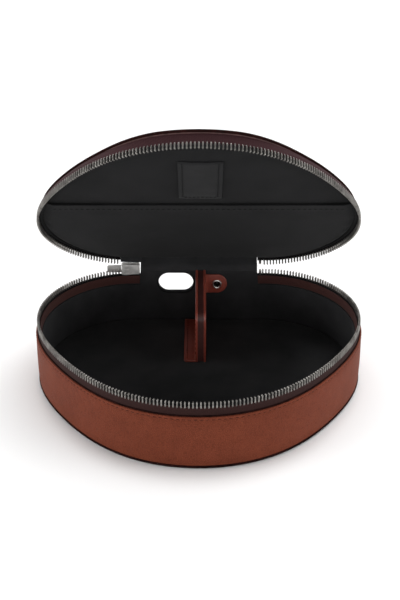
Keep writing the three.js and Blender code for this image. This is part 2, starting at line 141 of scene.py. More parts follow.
def srgb(r, g, b):
    def linear(v):
        v /= 255
        return v / 12.92 if v <= 0.04045 else ((v + 0.055) / 1.055) ** 2.4

    return linear(r), linear(g), linear(b), 1.0


def node(tree, kind, inputs=None, **settings):
    made = tree.nodes.new("ShaderNode" + kind)
    for key, value in settings.items():
        setattr(made, key, value)
    for key, value in (inputs or {}).items():
        if isinstance(value, bpy.types.NodeSocket):
            tree.links.new(value, made.inputs[key])
        else:
            made.inputs[key].default_value = value
    return made


def start_material(name, **direct):
    material = bpy.data.materials.new(name)
    material.use_nodes = True
    tree = material.node_tree
    tree.nodes.clear()
    shader = node(tree, "BsdfPrincipled", direct)
    out = node(tree, "OutputMaterial")
    tree.links.new(shader.outputs[0], out.inputs[0])
    return material, tree, shader


def place(tree, uv, stretch=(1, 1, 1)):
    """Texture coordinates in metres, from the mesh's own place or its lengthwise map."""
    coords = node(tree, "TexCoord").outputs["UV" if uv else "Object"]
    return node(tree, "Mapping", {"Vector": coords, "Scale": stretch}).outputs[0]


def ramp(tree, value, low, high, to_low=0.0, to_high=1.0):
    return node(
        tree,
        "MapRange",
        {"Value": value, "From Min": low, "From Max": high, "To Min": to_low, "To Max": to_high},
    ).outputs[0]


def blend_colours(tree, factor, a, b):
    return node(tree, "Mix", {0: factor, 6: a, 7: b}, data_type="RGBA").outputs[2]


def noise_at(tree, vector, scale, detail=3.0, rough=0.55):
    return node(
        tree,
        "TexNoise",
        {"Vector": vector, "Scale": scale, "Detail": detail, "Roughness": rough},
    ).outputs["Fac"]


def maths(tree, operation, a, b):
    return node(tree, "Math", {0: a, 1: b}, operation=operation).outputs[0]


def weighted(tree, a, share_a, b, share_b):
    return maths(tree, "ADD", maths(tree, "MULTIPLY", a, share_a), maths(tree, "MULTIPLY", b, share_b))


def tint(tree, shader, factor, dark, light):
    tree.links.new(blend_colours(tree, factor, dark, light), shader.inputs["Base Color"])


def bump(tree, shader, height, strength, distance):
    made = node(tree, "Bump", {"Height": height, "Strength": strength, "Distance": distance})
    tree.links.new(made.outputs[0], shader.inputs["Normal"])


def leather(name, dark, light, pebble=1.0, roughness=(0.5, 0.68), strength=0.55, uv=False, gloss=0.4):
    """Full-grain leather: rounded pebbles about a millimetre wide, with painted shade darkening the creases
    between them.
    """
    material, tree, shader = start_material(name, **{"Specular IOR Level": gloss})
    at = place(tree, uv)
    warp = node(tree, "TexNoise", {"Vector": at, "Scale": 320.0, "Detail": 2.0})
    warped = node(
        tree,
        "VectorMath",
        {0: at, 1: node(tree, "VectorMath", {0: warp.outputs["Color"], "Scale": 0.0011},
                        operation="SCALE").outputs[0]},
        operation="ADD",
    ).outputs[0]
    cells = node(
        tree,
        "TexVoronoi",
        {"Vector": warped, "Scale": 1000.0 / pebble, "Randomness": 0.9},
        feature="DISTANCE_TO_EDGE",
    ).outputs["Distance"]
    dome = ramp(tree, cells, 0.0, 0.32)
    fine = noise_at(tree, at, 4200.0)
    broad = noise_at(tree, at, 34.0, 4.0)
    patches = noise_at(tree, at, 190.0, 3.0)
    tone = weighted(tree, broad, 0.6, patches, 0.4)
    colour = blend_colours(tree, ramp(tree, tone, 0.36, 0.64), dark, light)
    # painted shade: the colour is darkened in the creases between the pebbles, where shade falls
    painted_crease_shade = tuple(0.42 * c for c in dark[:3]) + (1.0,)
    colour = blend_colours(tree, ramp(tree, dome, 0.0, 0.55, 0.55, 0.0), colour, painted_crease_shade)
    tree.links.new(colour, shader.inputs["Base Color"])
    tree.links.new(ramp(tree, fine, 0.3, 0.7, *roughness), shader.inputs["Roughness"])
    height = maths(tree, "ADD", dome, maths(tree, "MULTIPLY", fine, 0.35))
    bump(tree, shader, height, strength, 0.00022 * pebble)
    return material


def microfibre(name, dark, light, sheen=0.25, uv=False):
    """Short brushed nap with soft darker and lighter patches."""
    material, tree, shader = start_material(
        name,
        **{"Roughness": 0.95, "Sheen Weight": sheen, "Sheen Roughness": 0.45, "Specular IOR Level": 0.1},
    )
    at = place(tree, uv)
    nap = noise_at(tree, at, 2300.0, 3.0, 0.7)
    patches = noise_at(tree, at, 45.0, 4.0)
    tone = weighted(tree, patches, 0.55, nap, 0.45)
    tint(tree, shader, ramp(tree, tone, 0.34, 0.66), dark, light)
    bump(tree, shader, nap, 0.5, 0.00018)
    return material


def woven(name, dark, light, thread=0.42, roughness=0.82, sheen=0.1):
    """Herringbone-like tape: fine diagonal threads crossed by wefts, along the lengthwise map."""
    material, tree, shader = start_material(
        name, **{"Roughness": roughness, "Sheen Weight": sheen, "Specular IOR Level": 0.1}
    )
    at = place(tree, True)
    turned = node(tree, "Mapping", {"Vector": at, "Rotation": (0, 0, math.radians(62))}).outputs[0]
    scale = 1000.0 / thread / 6.28
    twill = node(
        tree, "TexWave", {"Vector": turned, "Scale": scale, "Distortion": 1.2,
                                    "Detail": 1.0, "Detail Scale": 2.0}
    ).outputs["Fac"]
    weft = node(tree, "TexWave", {"Vector": at, "Scale": scale * 0.8, "Distortion": 0.6}).outputs["Fac"]
    weave = weighted(tree, twill, 0.7, weft, 0.3)
    lint = noise_at(tree, at, 900.0, 4.0)
    tone = weighted(tree, weave, 0.65, lint, 0.35)
    tint(tree, shader, tone, dark, light)
    bump(tree, shader, weave, 0.6, 0.00016)
    return material


def metal(name, dark, light, roughness=(0.22, 0.42), stretch=(1, 1, 1), metallic=1.0):
    """Plated zinc with fine handling marks and a soft cloudy tone."""
    material, tree, shader = start_material(name, **{"Metallic": metallic})
    at = place(tree, False, stretch)
    marks = noise_at(tree, at, 700.0, 5.0, 0.65)
    clouds = noise_at(tree, at, 160.0, 2.0)
    tint(tree, shader, ramp(tree, clouds, 0.35, 0.65), dark, light)
    tree.links.new(ramp(tree, marks, 0.3, 0.7, *roughness), shader.inputs["Roughness"])
    bump(tree, shader, marks, 0.12, 0.0001)
    return material


def painted_edge(name, dark, light, roughness=(0.32, 0.55), gloss=0.4):
    """Edge paint on cut leather: smooth, slightly glossy and a little uneven."""
    material, tree, shader = start_material(name, **{"Specular IOR Level": gloss})
    at = place(tree, False)
    waves = noise_at(tree, at, 260.0, 3.0)
    specks = noise_at(tree, at, 2600.0, 2.0)
    tint(tree, shader, ramp(tree, waves, 0.35, 0.65), dark, light)
    tree.links.new(ramp(tree, specks, 0.3, 0.7, *roughness), shader.inputs["Roughness"])
    bump(tree, shader, maths(tree, "ADD", waves, maths(tree, "MULTIPLY", specks, 0.3)), 0.3, 0.00012)
    return material


def fibreboard(name, dark, light):
    """Pressed fibre board with flecks."""
    material, tree, shader = start_material(name, **{"Roughness": 0.9, "Specular IOR Level": 0.2})
    at = place(tree, False)
    fibres = noise_at(tree, at, 900.0, 6.0, 0.7)
    flecks = node(tree, "TexVoronoi", {"Vector": at, "Scale": 600.0}).outputs["Distance"]
    tone = maths(tree, "MULTIPLY", fibres, ramp(tree, flecks, 0.0, 0.5, 0.8, 1.3))
    tint(tree, shader, ramp(tree, tone, 0.3, 0.8), dark, light)
    bump(tree, shader, fibres, 0.4, 0.0001)
    return material


def thread(name, dark, light):
    """Waxed sewing thread with a twisted surface."""
    material, tree, shader = start_material(name, **{"Roughness": 0.8, "Specular IOR Level": 0.1})
    at = place(tree, False)
    twist = node(
        tree, "TexWave", {"Vector": at, "Scale": 420.0, "Distortion": 1.0},
        bands_direction="DIAGONAL",
    ).outputs["Fac"]
    tone = maths(tree, "MULTIPLY", twist, noise_at(tree, at, 1500.0))
    tint(tree, shader, ramp(tree, tone, 0.0, 0.6), dark, light)
    bump(tree, shader, twist, 0.5, 0.0001)
    return material


TAN = dict(dark=srgb(104, 50, 33), light=srgb(119, 59, 40), strength=0.8, gloss=0.07, roughness=(0.5, 0.66))
TAN_LEATHER = leather("tan_leather", **TAN)
TAN_BENT = leather("tan_leather_bent", uv=True, **TAN)
BROWN_LEATHER = leather(
    "brown_leather", srgb(122, 52, 39), srgb(148, 67, 52), pebble=0.7, roughness=(0.34, 0.5),
    strength=0.3, gloss=0.5,
)
STRIP_LEATHER = leather(
    "dark_brown_leather", srgb(58, 30, 28), srgb(78, 42, 39), pebble=0.6, roughness=(0.4, 0.55),
    strength=0.3, gloss=0.4,
)
PIPING_PAINT = painted_edge("piping_paint", srgb(20, 8, 7), srgb(38, 17, 15), (0.65, 0.85), 0.03)
# painted highlight: the bead's paint is lighter than the piping's, standing for the highlight line along the
# lid's edge
BEAD_PAINTED_HIGHLIGHT = painted_edge("bead_painted_highlight", srgb(60, 40, 39), srgb(84, 58, 57), (0.5, 0.7), 0.2)
BURGUNDY_TAPE = woven("burgundy_tape", srgb(30, 15, 17), srgb(66, 40, 43), sheen=0.02)
BROWN_TAPE = woven("brown_tape", srgb(26, 14, 13), srgb(54, 32, 30), sheen=0.02)
RIM_FABRIC = woven("rim_fabric", srgb(44, 24, 22), srgb(72, 44, 40), thread=0.5, sheen=0.05)
BLACK_TAPE = woven("black_tape", srgb(9, 8, 9), srgb(24, 22, 23), sheen=0.04)
LINING = microfibre("black_microfibre", srgb(15, 15, 16), srgb(27, 27, 28), sheen=0.06)
# painted light: the next two are the same black microfibre as the one above, made lighter to stand in for
# light on the walls, floor cushion, lid tail and hinge
LINING_PAINTED_LIGHT = microfibre("black_microfibre_painted_light", srgb(30, 30, 31), srgb(47, 47, 48), sheen=0.06)
LINING_BENT_PAINTED_LIGHT = microfibre("black_microfibre_bent_painted_light", srgb(32, 32, 33), srgb(50, 50, 51), sheen=0.06, uv=True)
SLEEVE_CLOTH = microfibre("sleeve_microfibre", srgb(22, 22, 23), srgb(34, 34, 35), sheen=0.09)
NICKEL = metal("nickel", srgb(168, 164, 161), srgb(205, 202, 198))
SATIN = metal("satin_zinc", srgb(164, 162, 160), srgb(198, 196, 193), roughness=(0.4, 0.55), metallic=0.35)
TEETH_METAL = metal("zipper_teeth_metal", srgb(98, 95, 92), srgb(136, 133, 129), roughness=(0.3, 0.5))
DARK_METAL = metal("blackened_metal", srgb(20, 20, 21), srgb(38, 37, 37), roughness=(0.3, 0.5))
MAGNET = metal("magnet_plating", srgb(130, 130, 134), srgb(165, 165, 168), stretch=(1, 6, 6))
BOARD = fibreboard("fibre_board", srgb(16, 15, 15), srgb(34, 32, 31))
TRIM = painted_edge("black_trim", srgb(9, 9, 10), srgb(20, 20, 21), (0.6, 0.8), 0.05)
TAN_THREAD = thread("tan_thread", srgb(34, 12, 8), srgb(52, 21, 14))
BLACK_THREAD = thread("black_thread", srgb(9, 9, 9), srgb(17, 17, 17))

# ---- mesh building


def finish_mesh(mesh, smooth_angle):
    bm = bmesh.new()
    bm.from_mesh(mesh)
    bmesh.ops.recalc_face_normals(bm, faces=bm.faces)
    bm.to_mesh(mesh)
    bm.free()
    for polygon in mesh.polygons:
        polygon.use_smooth = True
    mesh.set_sharp_from_angle(angle=math.radians(smooth_angle))


def build(name, points, faces, material, uv=None, lid=False, smooth_angle=38):
    """An object from points in millimetres, given closed for a piece of the lid."""
    if lid:
        points = [lid_point(p) for p in points]
    mesh = bpy.data.meshes.new(name)
    mesh.from_pydata([(p[0] * MM, p[1] * MM, p[2] * MM) for p in points], [], faces)
    if uv is not None:
        layer = mesh.uv_layers.new(name="along")
        corner = 0
        for polygon, values in zip(mesh.polygons, uv):
            for value in values:
                layer.data[corner].uv = (value[0] * MM, value[1] * MM)
                corner += 1
    finish_mesh(mesh, smooth_angle)
    mesh.materials.append(material)
    made = bpy.data.objects.new(name, mesh)
    scene.collection.objects.link(made)
    return made


def own(piece, body, slot, *nodes):
    """The piece rides on a body and may stand for CAD nodes, which it hides. slot is not used."""
    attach(piece, body)
    if nodes:
        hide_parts(*nodes)
    return piece


def apply_modifiers(piece):
    bpy.context.view_layer.update()
    graph = bpy.context.evaluated_depsgraph_get()
    mesh = bpy.data.meshes.new_from_object(piece.evaluated_get(graph))
    piece.modifiers.clear()
    piece.data = mesh
    return piece


def ring_quads(rows, count, base=0, closed=False):
    """Faces between rows of points that each close into a ring."""
    made = []
    for i in range(rows if closed else rows - 1):
        here, there = base + i * count, base + (i + 1) % rows * count
        for k in range(count):
            m = (k + 1) % count
            made.append((here + k, here + m, there + m, there + k))
    return made


def tube_faces(rows, count, base=0):
    """Faces of a tube of rings with both ends closed."""
    last = base + (rows - 1) * count
    return ring_quads(rows, count, base) + [tuple(range(k, k + count)) for k in (base, last)]


def grid_quads(rows, columns, base=0):
    width = columns + 1
    corners = (base + i * width + j for i in range(rows) for j in range(columns))
    return [(a, a + 1, a + width + 1, a + width) for a in corners]


def sheet_faces(rows, columns):
    """Faces of a sheet with two sides: two grids of points, joined round their borders."""
    width = columns + 1
    count = (rows + 1) * width
    line = [*range(columns), *(i * width + columns for i in range(rows))]
    line += [*(rows * width + j for j in range(columns, 0, -1)), *(i * width for i in range(rows, 0, -1))]
    joins = [(a, count + a, count + b, b) for a, b in zip(line, line[1:] + line[:1])]
    return grid_quads(rows, columns) + [q[::-1] for q in grid_quads(rows, columns, count)] + joins


def sweep(name, stations, profile, material, closed=False, lid=False, smooth_angle=38, inside=None):
    """Carries a closed profile of (inset, height) along the outline. The profile may change with length.

    inside is (material, number of first profile points) for the side that faces into the case.
    """
    shape = profile if callable(profile) else lambda s: profile
    points, faces, uv = [], [], []
    count = len(shape(stations[0]))
    for s in stations:
        for inset, z in shape(s):
            p, _ = rim(s, inset)
            points.append((p[0], p[1], z))
    first = shape(stations[0])
    around = [0.0]
    for k in range(count):
        a, b = first[k], first[(k + 1) % count]
        around.append(around[-1] + math.hypot(b[0] - a[0], b[1] - a[1]))
    rows = len(stations)
    for i in range(rows if closed else rows - 1):
        j = (i + 1) % rows
        u0, u1 = stations[i], stations[j] if j else stations[-1] + (stations[1] - stations[0])
        for k in range(count):
            m = (k + 1) % count
            faces.append((i * count + k, j * count + k, j * count + m, i * count + m))
            uv.append(((u0, around[k]), (u1, around[k]), (u1, around[k + 1]), (u0, around[k + 1])))
    if not closed:
        for row in (0, rows - 1):
            faces.append(tuple(row * count + k for k in range(count)))
            uv.append([(stations[row], around[k]) for k in range(count)])
    made = build(name, points, faces, material, uv, lid, smooth_angle)
    if inside:
        made.data.materials.append(inside[0])
        for index, polygon in enumerate(made.data.polygons):
            polygon.material_index = int(index < rows * count and index % count < inside[1])
    return made


def spaced(start, end, step):
    count = max(2, round(abs(end - start) / step) + 1)
    return [start + (end - start) * i / (count - 1) for i in range(count)]


def loop_stations(step=1.7):
    count = round(RIM_LENGTH / step)
    return [RIM_LENGTH * i / count for i in range(count)]


def rounded(outer, inner, bottom, top, radius, segments=4):
    """A profile of (inset, height) with rounded corners, as a closed list."""
    radius = min(radius, abs(inner - outer) / 2 * 0.98, (top - bottom) / 2 * 0.98)
    corners = (
        (outer + radius, bottom + radius, math.pi, 1.5 * math.pi),
        (inner - radius, bottom + radius, 1.5 * math.pi, 2 * math.pi),
        (inner - radius, top - radius, 0.0, 0.5 * math.pi),
        (outer + radius, top - radius, 0.5 * math.pi, math.pi),
    )
    made = []
    for cx, cz, a, b in corners:
        for i in range(segments + 1):
            angle = a + (b - a) * i / segments
            made.append((cx + radius * math.cos(angle), cz + radius * math.sin(angle)))
    return made


PANEL_MIDDLE = 8.0  # where the rings inside a panel close up, along Y


def quarter(steps, first=0):
    """Angles of a quarter turn."""
    return [math.pi / 2 * i / steps for i in range(first, steps + 1)]


def circle(steps):
    return [2 * math.pi * i / steps for i in range(steps)]


def panel(name, inset, bottom, top, material, edge=0.6, top_drop=None, bottom_drop=None, step=1.7,
          depth=44.0, lid=False, spacing=4.0, taper=0.0):
    """A plate of the whole outline with rounded edges. The drops are functions of (x, y, distance in)."""
    stations = loop_stations(step)
    rounds = [(edge * (1 - math.cos(a)), edge * (1 - math.sin(a))) for a in quarter(4)]
    distances = [edge + spacing * i for i in range(1, int((depth - edge) / spacing) + 1)]
    under = [(d, bottom, bottom_drop) for d in reversed(distances)]
    under += [(d, bottom + drop, None) for d, drop in reversed(rounds)]
    over = [(d, top - drop, None) for d, drop in rounds]
    over += [(d, top, top_drop) for d in distances]
    shrunk = (0.86, 0.72, 0.58, 0.44, 0.3, 0.16)
    under = [(distances[-1], bottom, bottom_drop, f) for f in reversed(shrunk)] + [(*u, 1.0) for u in under]
    over = [(*o, 1.0) for o in over] + [(distances[-1], top, top_drop, f) for f in shrunk]
    levels = under + over
    points = []
    drawn_in = [taper * lid_taper(s) if taper else 0.0 for s in stations]
    for d, z, drop, f in levels:
        for s, extra in zip(stations, drawn_in):
            x, y = rim(s, inset + d + extra)[0]
            x, y = x * f, PANEL_MIDDLE + (y - PANEL_MIDDLE) * f
            points.append((x, y, z + (drop(x, y, d) if drop else 0.0)))
    count = len(stations)
    faces = ring_quads(len(levels), count)
    for level in (0, len(levels) - 1):
        centre = len(points)
        ring = range(level * count, level * count + count)
        middle = [sum(points[k][axis] for k in ring) / count for axis in range(3)]
        points.append(tuple(middle))
        for k in range(count):
            faces.append((level * count + k, level * count + (k + 1) % count, centre))
    return build(name, points, faces, material, lid=lid)


def prism(name, outline, low, high, axis, material, edge=0.4, segments=3, lid=False, smooth_angle=35):
    """A flat outline given a thickness along an axis, with rounded edges."""
    place_point = {
        "x": lambda a, b, c: (c, a, b),
        "y": lambda a, b, c: (a, c, b),
        "z": lambda a, b, c: (a, b, c),
    }[axis]
    count = len(outline)
    points = [place_point(a, b, low) for a, b in outline] + [place_point(a, b, high) for a, b in outline]
    faces = [tuple(range(count)), tuple(range(2 * count - 1, count - 1, -1))]
    faces += [(k, (k + 1) % count, count + (k + 1) % count, count + k) for k in range(count)]
    made = build(name, points, faces, material, lid=lid, smooth_angle=smooth_angle)
    if edge:
        bevel = made.modifiers.new("edge", "BEVEL")
        bevel.width, bevel.segments = edge * MM, segments
        bevel.limit_method, bevel.angle_limit = "ANGLE", math.radians(40)
        apply_modifiers(made)
        finish_mesh(made.data, smooth_angle)
    return made


def simulate(piece, held, pressure=0.0, weight=0.0, slack=0.0, most=1.0, frames=20):
    """Runs Blender's cloth on a piece whose held points stay put. No point moves more than most mm."""
    start = [v.co.copy() for v in piece.data.vertices]
    group = piece.vertex_groups.new(name="held")
    group.add(list(held), 1.0, "REPLACE")
    cloth = piece.modifiers.new("cloth", "CLOTH")
    settings = cloth.settings
    settings.quality = 6
    settings.mass = 0.12
    settings.tension_stiffness = settings.compression_stiffness = 12.0
    settings.shear_stiffness = 6.0
    settings.bending_stiffness = 0.3
    settings.vertex_group_mass = group.name
    settings.use_pressure = pressure > 0
    settings.uniform_pressure_force = pressure
    settings.effector_weights.gravity = weight
    settings.shrink_min = -slack
    cloth.point_cache.frame_start, cloth.point_cache.frame_end = 1, frames
    for number in range(1, frames + 1):
        scene.frame_set(number)
    graph = bpy.context.evaluated_depsgraph_get()
    moved = [v.co.copy() for v in piece.evaluated_get(graph).data.vertices]
    piece.modifiers.clear()
    piece.vertex_groups.clear()
    scene.frame_set(1)
    for vertex, a, b in zip(piece.data.vertices, start, moved):
        step = b - a
        if step.length > most * MM:
            step *= most * MM / step.length
        vertex.co = a + step
    piece.data.update()
    return piece


def arc(cx, cy, radius, start, end, steps=8):
    return [
        (cx + radius * math.cos(math.radians(start + (end - start) * i / steps)),
         cy + radius * math.sin(math.radians(start + (end - start) * i / steps)))
        for i in range(steps + 1)
    ]


def join(target, *others):
    """Puts the meshes of the others into the target."""
    bm = bmesh.new()
    bm.from_mesh(target.data)
    for other in others:
        bm.from_mesh(other.data)
        bpy.data.objects.remove(other)
    bm.to_mesh(target.data)
    bm.free()
    return target


def cut(piece, tool):
    boolean = piece.modifiers.new("cut", "BOOLEAN")
    boolean.operation, boolean.solver, boolean.object = "DIFFERENCE", "EXACT", tool
    apply_modifiers(piece)
    bpy.data.objects.remove(tool)
    for polygon in piece.data.polygons:
        polygon.use_smooth = True
    piece.data.set_sharp_from_angle(angle=math.radians(38))
    return piece


def turned(name, profile, centre, material, sides=40, smooth_angle=30):
    """A round part about a line along Y, from (radius, y) pairs."""
    points = []
    for radius, y in profile:
        for angle in circle(sides):
            points.append((centre[0] + radius * math.cos(angle), y, centre[1] + radius * math.sin(angle)))
    return build(name, points, tube_faces(len(profile), sides), material, smooth_angle=smooth_angle)


def stitches(name, rows, material, radius=0.27, lid=False):
    """Short arched lengths of thread, each given as (start, end, normal)."""
    points, faces = [], []
    sides = 6
    sections = ((0.0, 0.4, -0.5), (0.12, 0.9, 0.15), (0.5, 1.0, 0.45), (0.88, 0.9, 0.15), (1.0, 0.4, -0.5))
    for start, end, normal in rows:
        a, b, n = Vector(start), Vector(end), Vector(normal).normalized()
        side = (b - a).normalized().cross(n)
        base = len(points)
        for t, size, lift in sections:
            middle = a.lerp(b, t) + n * lift * radius
            for angle in circle(sides):
                offset = side * math.cos(angle) + n * math.sin(angle)
                points.append(tuple(middle + offset * radius * size))
        faces += tube_faces(len(sections), sides, base)
    return build(name, points, faces, material, lid=lid, smooth_angle=60)


def rim_stitches(start, end, inset, z, normal, pitch=3.4, length=2.5, taper=0.0):
    """Stitches along the outline. The normal is given as (inwards, up)."""
    rows = []
    count = int((end - start) / pitch)
    for i in range(count):
        s = start + (end - start) * (i + 0.5) / count
        deep = inset + taper * lid_taper(s)
        a, n = rim(s - length / 2, deep)
        b, _ = rim(s + length / 2, deep)
        rows.append(((*a, z), (*b, z), (n[0] * normal[0], n[1] * normal[0], normal[1])))
    return rows


def line_stitches(a, b, normal, pitch=3.2, length=2.3):
    a, b = Vector(a), Vector(b)
    count = max(1, int((b - a).length / pitch))
    along = (b - a).normalized() * length / 2
    rows = []
    for i in range(count):
        middle = a.lerp(b, (i + 0.5) / count)
        rows.append((tuple(middle - along), tuple(middle + along), normal))
    return rows


def smooth_step(value, low, high):
    t = min(1.0, max(0.0, (value - low) / (high - low)))
    return t * t * (3 - 2 * t)


def lid_taper(s):
    """How much further in the top of the lid is at length s than the case below it."""
    (x, y), _ = rim(s)
    if y >= WIDEST_Y:
        across = max(0.0, abs(x) - BACK_FLAT) / (HALF_WIDTH - BACK_FLAT)
        return LID_TAPER * smooth_step(across, 0, 0.6)
    return smooth_step(abs(x), 20, 70) * (LID_TAPER + LID_NOSE) - LID_NOSE


def back_x(s):
    """Distance from the middle of the back along the outline."""
    s = s % RIM_LENGTH
    return min(s, RIM_LENGTH - s)


def riser(s, low, high):
    """Height of a wall that stands taller along the hinge."""
    return high - (high - low) * smooth_step(back_x(s), HINGE_HALF - 0.2, HINGE_HALF + 1.0)


def wall_stations():
    """Stations round the wall, closer together where it steps up to the hinge."""
    near = [HINGE_HALF + d for d in (-0.6, -0.3, 0.0, 0.25, 0.5, 0.75, 1.0, 1.4)]
    away = [s for s in loop_stations() if abs(back_x(s) - HINGE_HALF) > 1.6]
    return sorted(away + near + [RIM_LENGTH - s for s in near])


def stadium(centre_x, centre_z, length, height, steps=12):
    reach = (length - height) / 2
    return arc(centre_x + reach, centre_z, height / 2, -90, 90, steps) + arc(
        centre_x - reach, centre_z, height / 2, 90, 270, steps
    )


def slot_tool():
    return prism("slot_tool", stadium(SLOT_X, SLOT_Z, SLOT_LENGTH, SLOT_HEIGHT), BACK_Y - 6, BACK_Y + 3,
                 "y", BOARD, edge=0)


# ---- base: leather outside


def wall_profile(s):
    """The turned-over top edge, the sewing groove and the slightly rounded face of the wall."""
    top = riser(s, WALL_TOP, RISER_TOP)
    bottom, edge, thick = 2.2, 0.62, 1.45
    groove = top - 2.3
    outer = [(0.16, bottom), (0.02, bottom + 0.8)]
    outer += [(-0.28 * math.sin(math.pi * t) ** 0.8, bottom + 0.8 + (groove - 0.9 - bottom - 0.8) * t)
              for t in (0.12, 0.3, 0.5, 0.7, 0.88)]
    outer += [(-0.06, groove - 0.7), (0.1, groove - 0.25), (0.2, groove), (0.08, groove + 0.3),
              (-0.1, groove + 0.8), (-0.12, top - edge - 0.4)]
    turn = [(0.5 - edge * math.cos(a), top - edge + edge * math.sin(a)) for a in quarter(4)]
    inner = [(thick - 0.25, top), (thick, top - 0.3), (thick, bottom)]
    return outer + turn + inner


wall = sweep("base_wall_leather_skin", wall_stations(), wall_profile, TAN_LEATHER, closed=True)
own(cut(wall, slot_tool()), "base", "tan_leather", "base_wall_leather")

bottom_skin = panel("base_bottom_leather_skin", 1.8, 0.0, 1.5, TAN_LEATHER, edge=0.5)
own(bottom_skin, "base", "tan_leather", "base_bottom_leather")

piping = sweep(
    "base_edge_piping",
    loop_stations(),
    [(0.62 + 0.9 * math.cos(a), 1.2 + 0.88 * math.sin(a)) for a in circle(12)],
    PIPING_PAINT,
    closed=True,
)
own(piping, "base", "dark_edge", "base_edge_binding")

wall_rows = rim_stitches(HINGE_HALF + 3, RIM_LENGTH - HINGE_HALF - 3, 0.12, WALL_TOP - 1.5, (-1, 0))
own(stitches("base_wall_stitching", wall_rows, TAN_THREAD), "base", "tan_leather")

# ---- base: linings


def soft_waves(x, y, size, seed, scale=0.03):
    return size * noise.noise(Vector((x * scale, y * scale, seed)))


def wall_lining_profile(s):
    top = riser(s, 33.0, 43.4)
    outer, inner, bottom = LINING_INSET, INNER_INSET, FLOOR_Z + 0.3
    puff = [(inner + 0.16 * math.sin(math.pi * t) + 0.05 * noise.noise(Vector((s * 0.06, t * 3, 2.0))),
             bottom + 0.4 + (top - bottom - 0.8) * t) for t in (0.06, 0.25, 0.5, 0.75, 0.94)]
    return [(outer, bottom), (inner - 0.2, bottom), (inner - 0.02, bottom + 0.2), *puff,
            (inner - 0.02, top - 0.25), (inner - 0.3, top), (outer + 0.1, top), (outer, top - 0.1)]


lining = sweep("base_wall_lining_cloth", wall_stations(), wall_lining_profile, LINING_PAINTED_LIGHT, closed=True)
own(cut(lining, slot_tool()), "base", "black_lining", "base_wall_lining")


def pad_crown(size, edge_width, seed, waves):
    """Height over a soft panel: low along its sewn edge, full inside, with slight unevenness."""

    def height(x, y, d):
        return size * (smooth_step(d, 0, edge_width) - 1) + soft_waves(x, y, waves, seed)

    return height


PAD_STEP = 3.4
PAD_EDGE_LEVELS = 6  # rings of a panel in and next to its rounded edge


def held_points(piece, upper):
    """Every point of a cushion but those of its upper or lower face, away from the edge."""
    total = len(piece.data.vertices)
    rings = total - 2  # the last two points close the lower and the upper face
    edge = PAD_EDGE_LEVELS * len(loop_stations(PAD_STEP))
    free = {*range(rings // 2 + edge, rings), total - 1} if upper else {*range(rings // 2 - edge), rings}
    return [k for k in range(total) if k not in free]


floor_pad = panel("base_floor_cushion", LINING_INSET + 0.2, 3.3, FLOOR_Z - 0.1, LINING_PAINTED_LIGHT, edge=0.5,
                  top_drop=pad_crown(0.2, 7, 4.0, 0.05), step=PAD_STEP)
simulate(floor_pad, held_points(floor_pad, True), pressure=0.6, most=0.35)
own(floor_pad, "base", "black_lining", "base_floor_pad")

BAND_STATIONS = spaced(HINGE_HALF + 0.3, RIM_LENGTH - HINGE_HALF - 0.3, 1.7)  # all but the hinge
facing = sweep("base_rim_facing_strip", BAND_STATIONS, rounded(2.7, 3.85, 33.6, 39.8, 0.45), RIM_FABRIC)
own(facing, "base", "brown_leather", "base_rim_facing")


def slot_trim():
    """A rounded rim that lines the cable slot and laps a little over both faces."""
    path = stadium(SLOT_X, SLOT_Z, SLOT_LENGTH - 1.0, SLOT_HEIGHT - 1.0, 14)
    points = []
    reach = (SLOT_LENGTH - SLOT_HEIGHT) / 2
    profile = [(0.1, -0.3), (0.6, -0.25), (0.6, 0.25), (0.2, 0.45), (-0.3, 0.5), (-0.4, 2.0),
               (-0.3, 3.7), (0.2, 3.85), (0.6, 4.0), (0.6, 4.5), (0.1, 4.6), (-0.1, 4.15),
               (-0.05, 2.0), (-0.1, 0.2)]
    for x, z in path:
        centre = SLOT_X + reach if x > SLOT_X + reach else SLOT_X - reach if x < SLOT_X - reach else x
        out = Vector((x - centre, 0, z - SLOT_Z)).normalized()
        for spread, deep in profile:
            points.append((x + out.x * spread, BACK_Y - deep, z + out.z * spread))
    return build("cable_slot_trim", points, ring_quads(len(path), len(profile), closed=True), TRIM)


own(slot_trim(), "base", "black_trim", "cable_slot_rim")

# ---- zipper

TEETH_FOOT = {"base": 40.2, "lid": 47.8}


def tooth_template():
    """Rings of one tooth: (half along the row, half through, height from its foot)."""
    rings = ((0.30, 0.6, 0.0), (0.56, 0.8, 0.16), (0.62, 0.87, 0.7), (0.6, 0.87, 1.3),
             (0.45, 0.78, 1.95), (0.45, 0.76, 2.5), (0.55, 0.82, 3.1), (0.54, 0.8, 3.55),
             (0.4, 0.68, 3.95), (0.2, 0.45, 4.2))
    sides, power = 12, 0.55
    points = []
    for a, b, w in rings:
        for k in range(sides):
            angle = 2 * math.pi * (k + 0.5) / sides
            c, s = math.cos(angle), math.sin(angle)
            points.append((a * math.copysign(abs(c) ** power, c), b * math.copysign(abs(s) ** power, s), w))
    return np.array(points), tube_faces(len(rings), sides)


def teeth(name, start, end, foot, up, lid):
    """One row of separate teeth clamped on the tape's edge."""
    template, template_faces = tooth_template()
    points, faces = [], []
    count = int((end - start) / TOOTH_PITCH)
    for i in range(count + 1):
        s = start + i * TOOTH_PITCH + rng.uniform(-0.03, 0.03)
        p, n = rim(s, CHAIN_INSET)
        along = np.array([-n[1], n[0]])
        lean = rng.uniform(-0.015, 0.015)
        base = len(points)
        for u, v, w in template:
            u = u + w * lean
            xy = p + along * u + n * v
            points.append((xy[0], xy[1], foot + up * w))
        faces += [tuple(base + k for k in face) for face in template_faces]
    return build(name, points, faces, TEETH_METAL, lid=lid, smooth_angle=50)


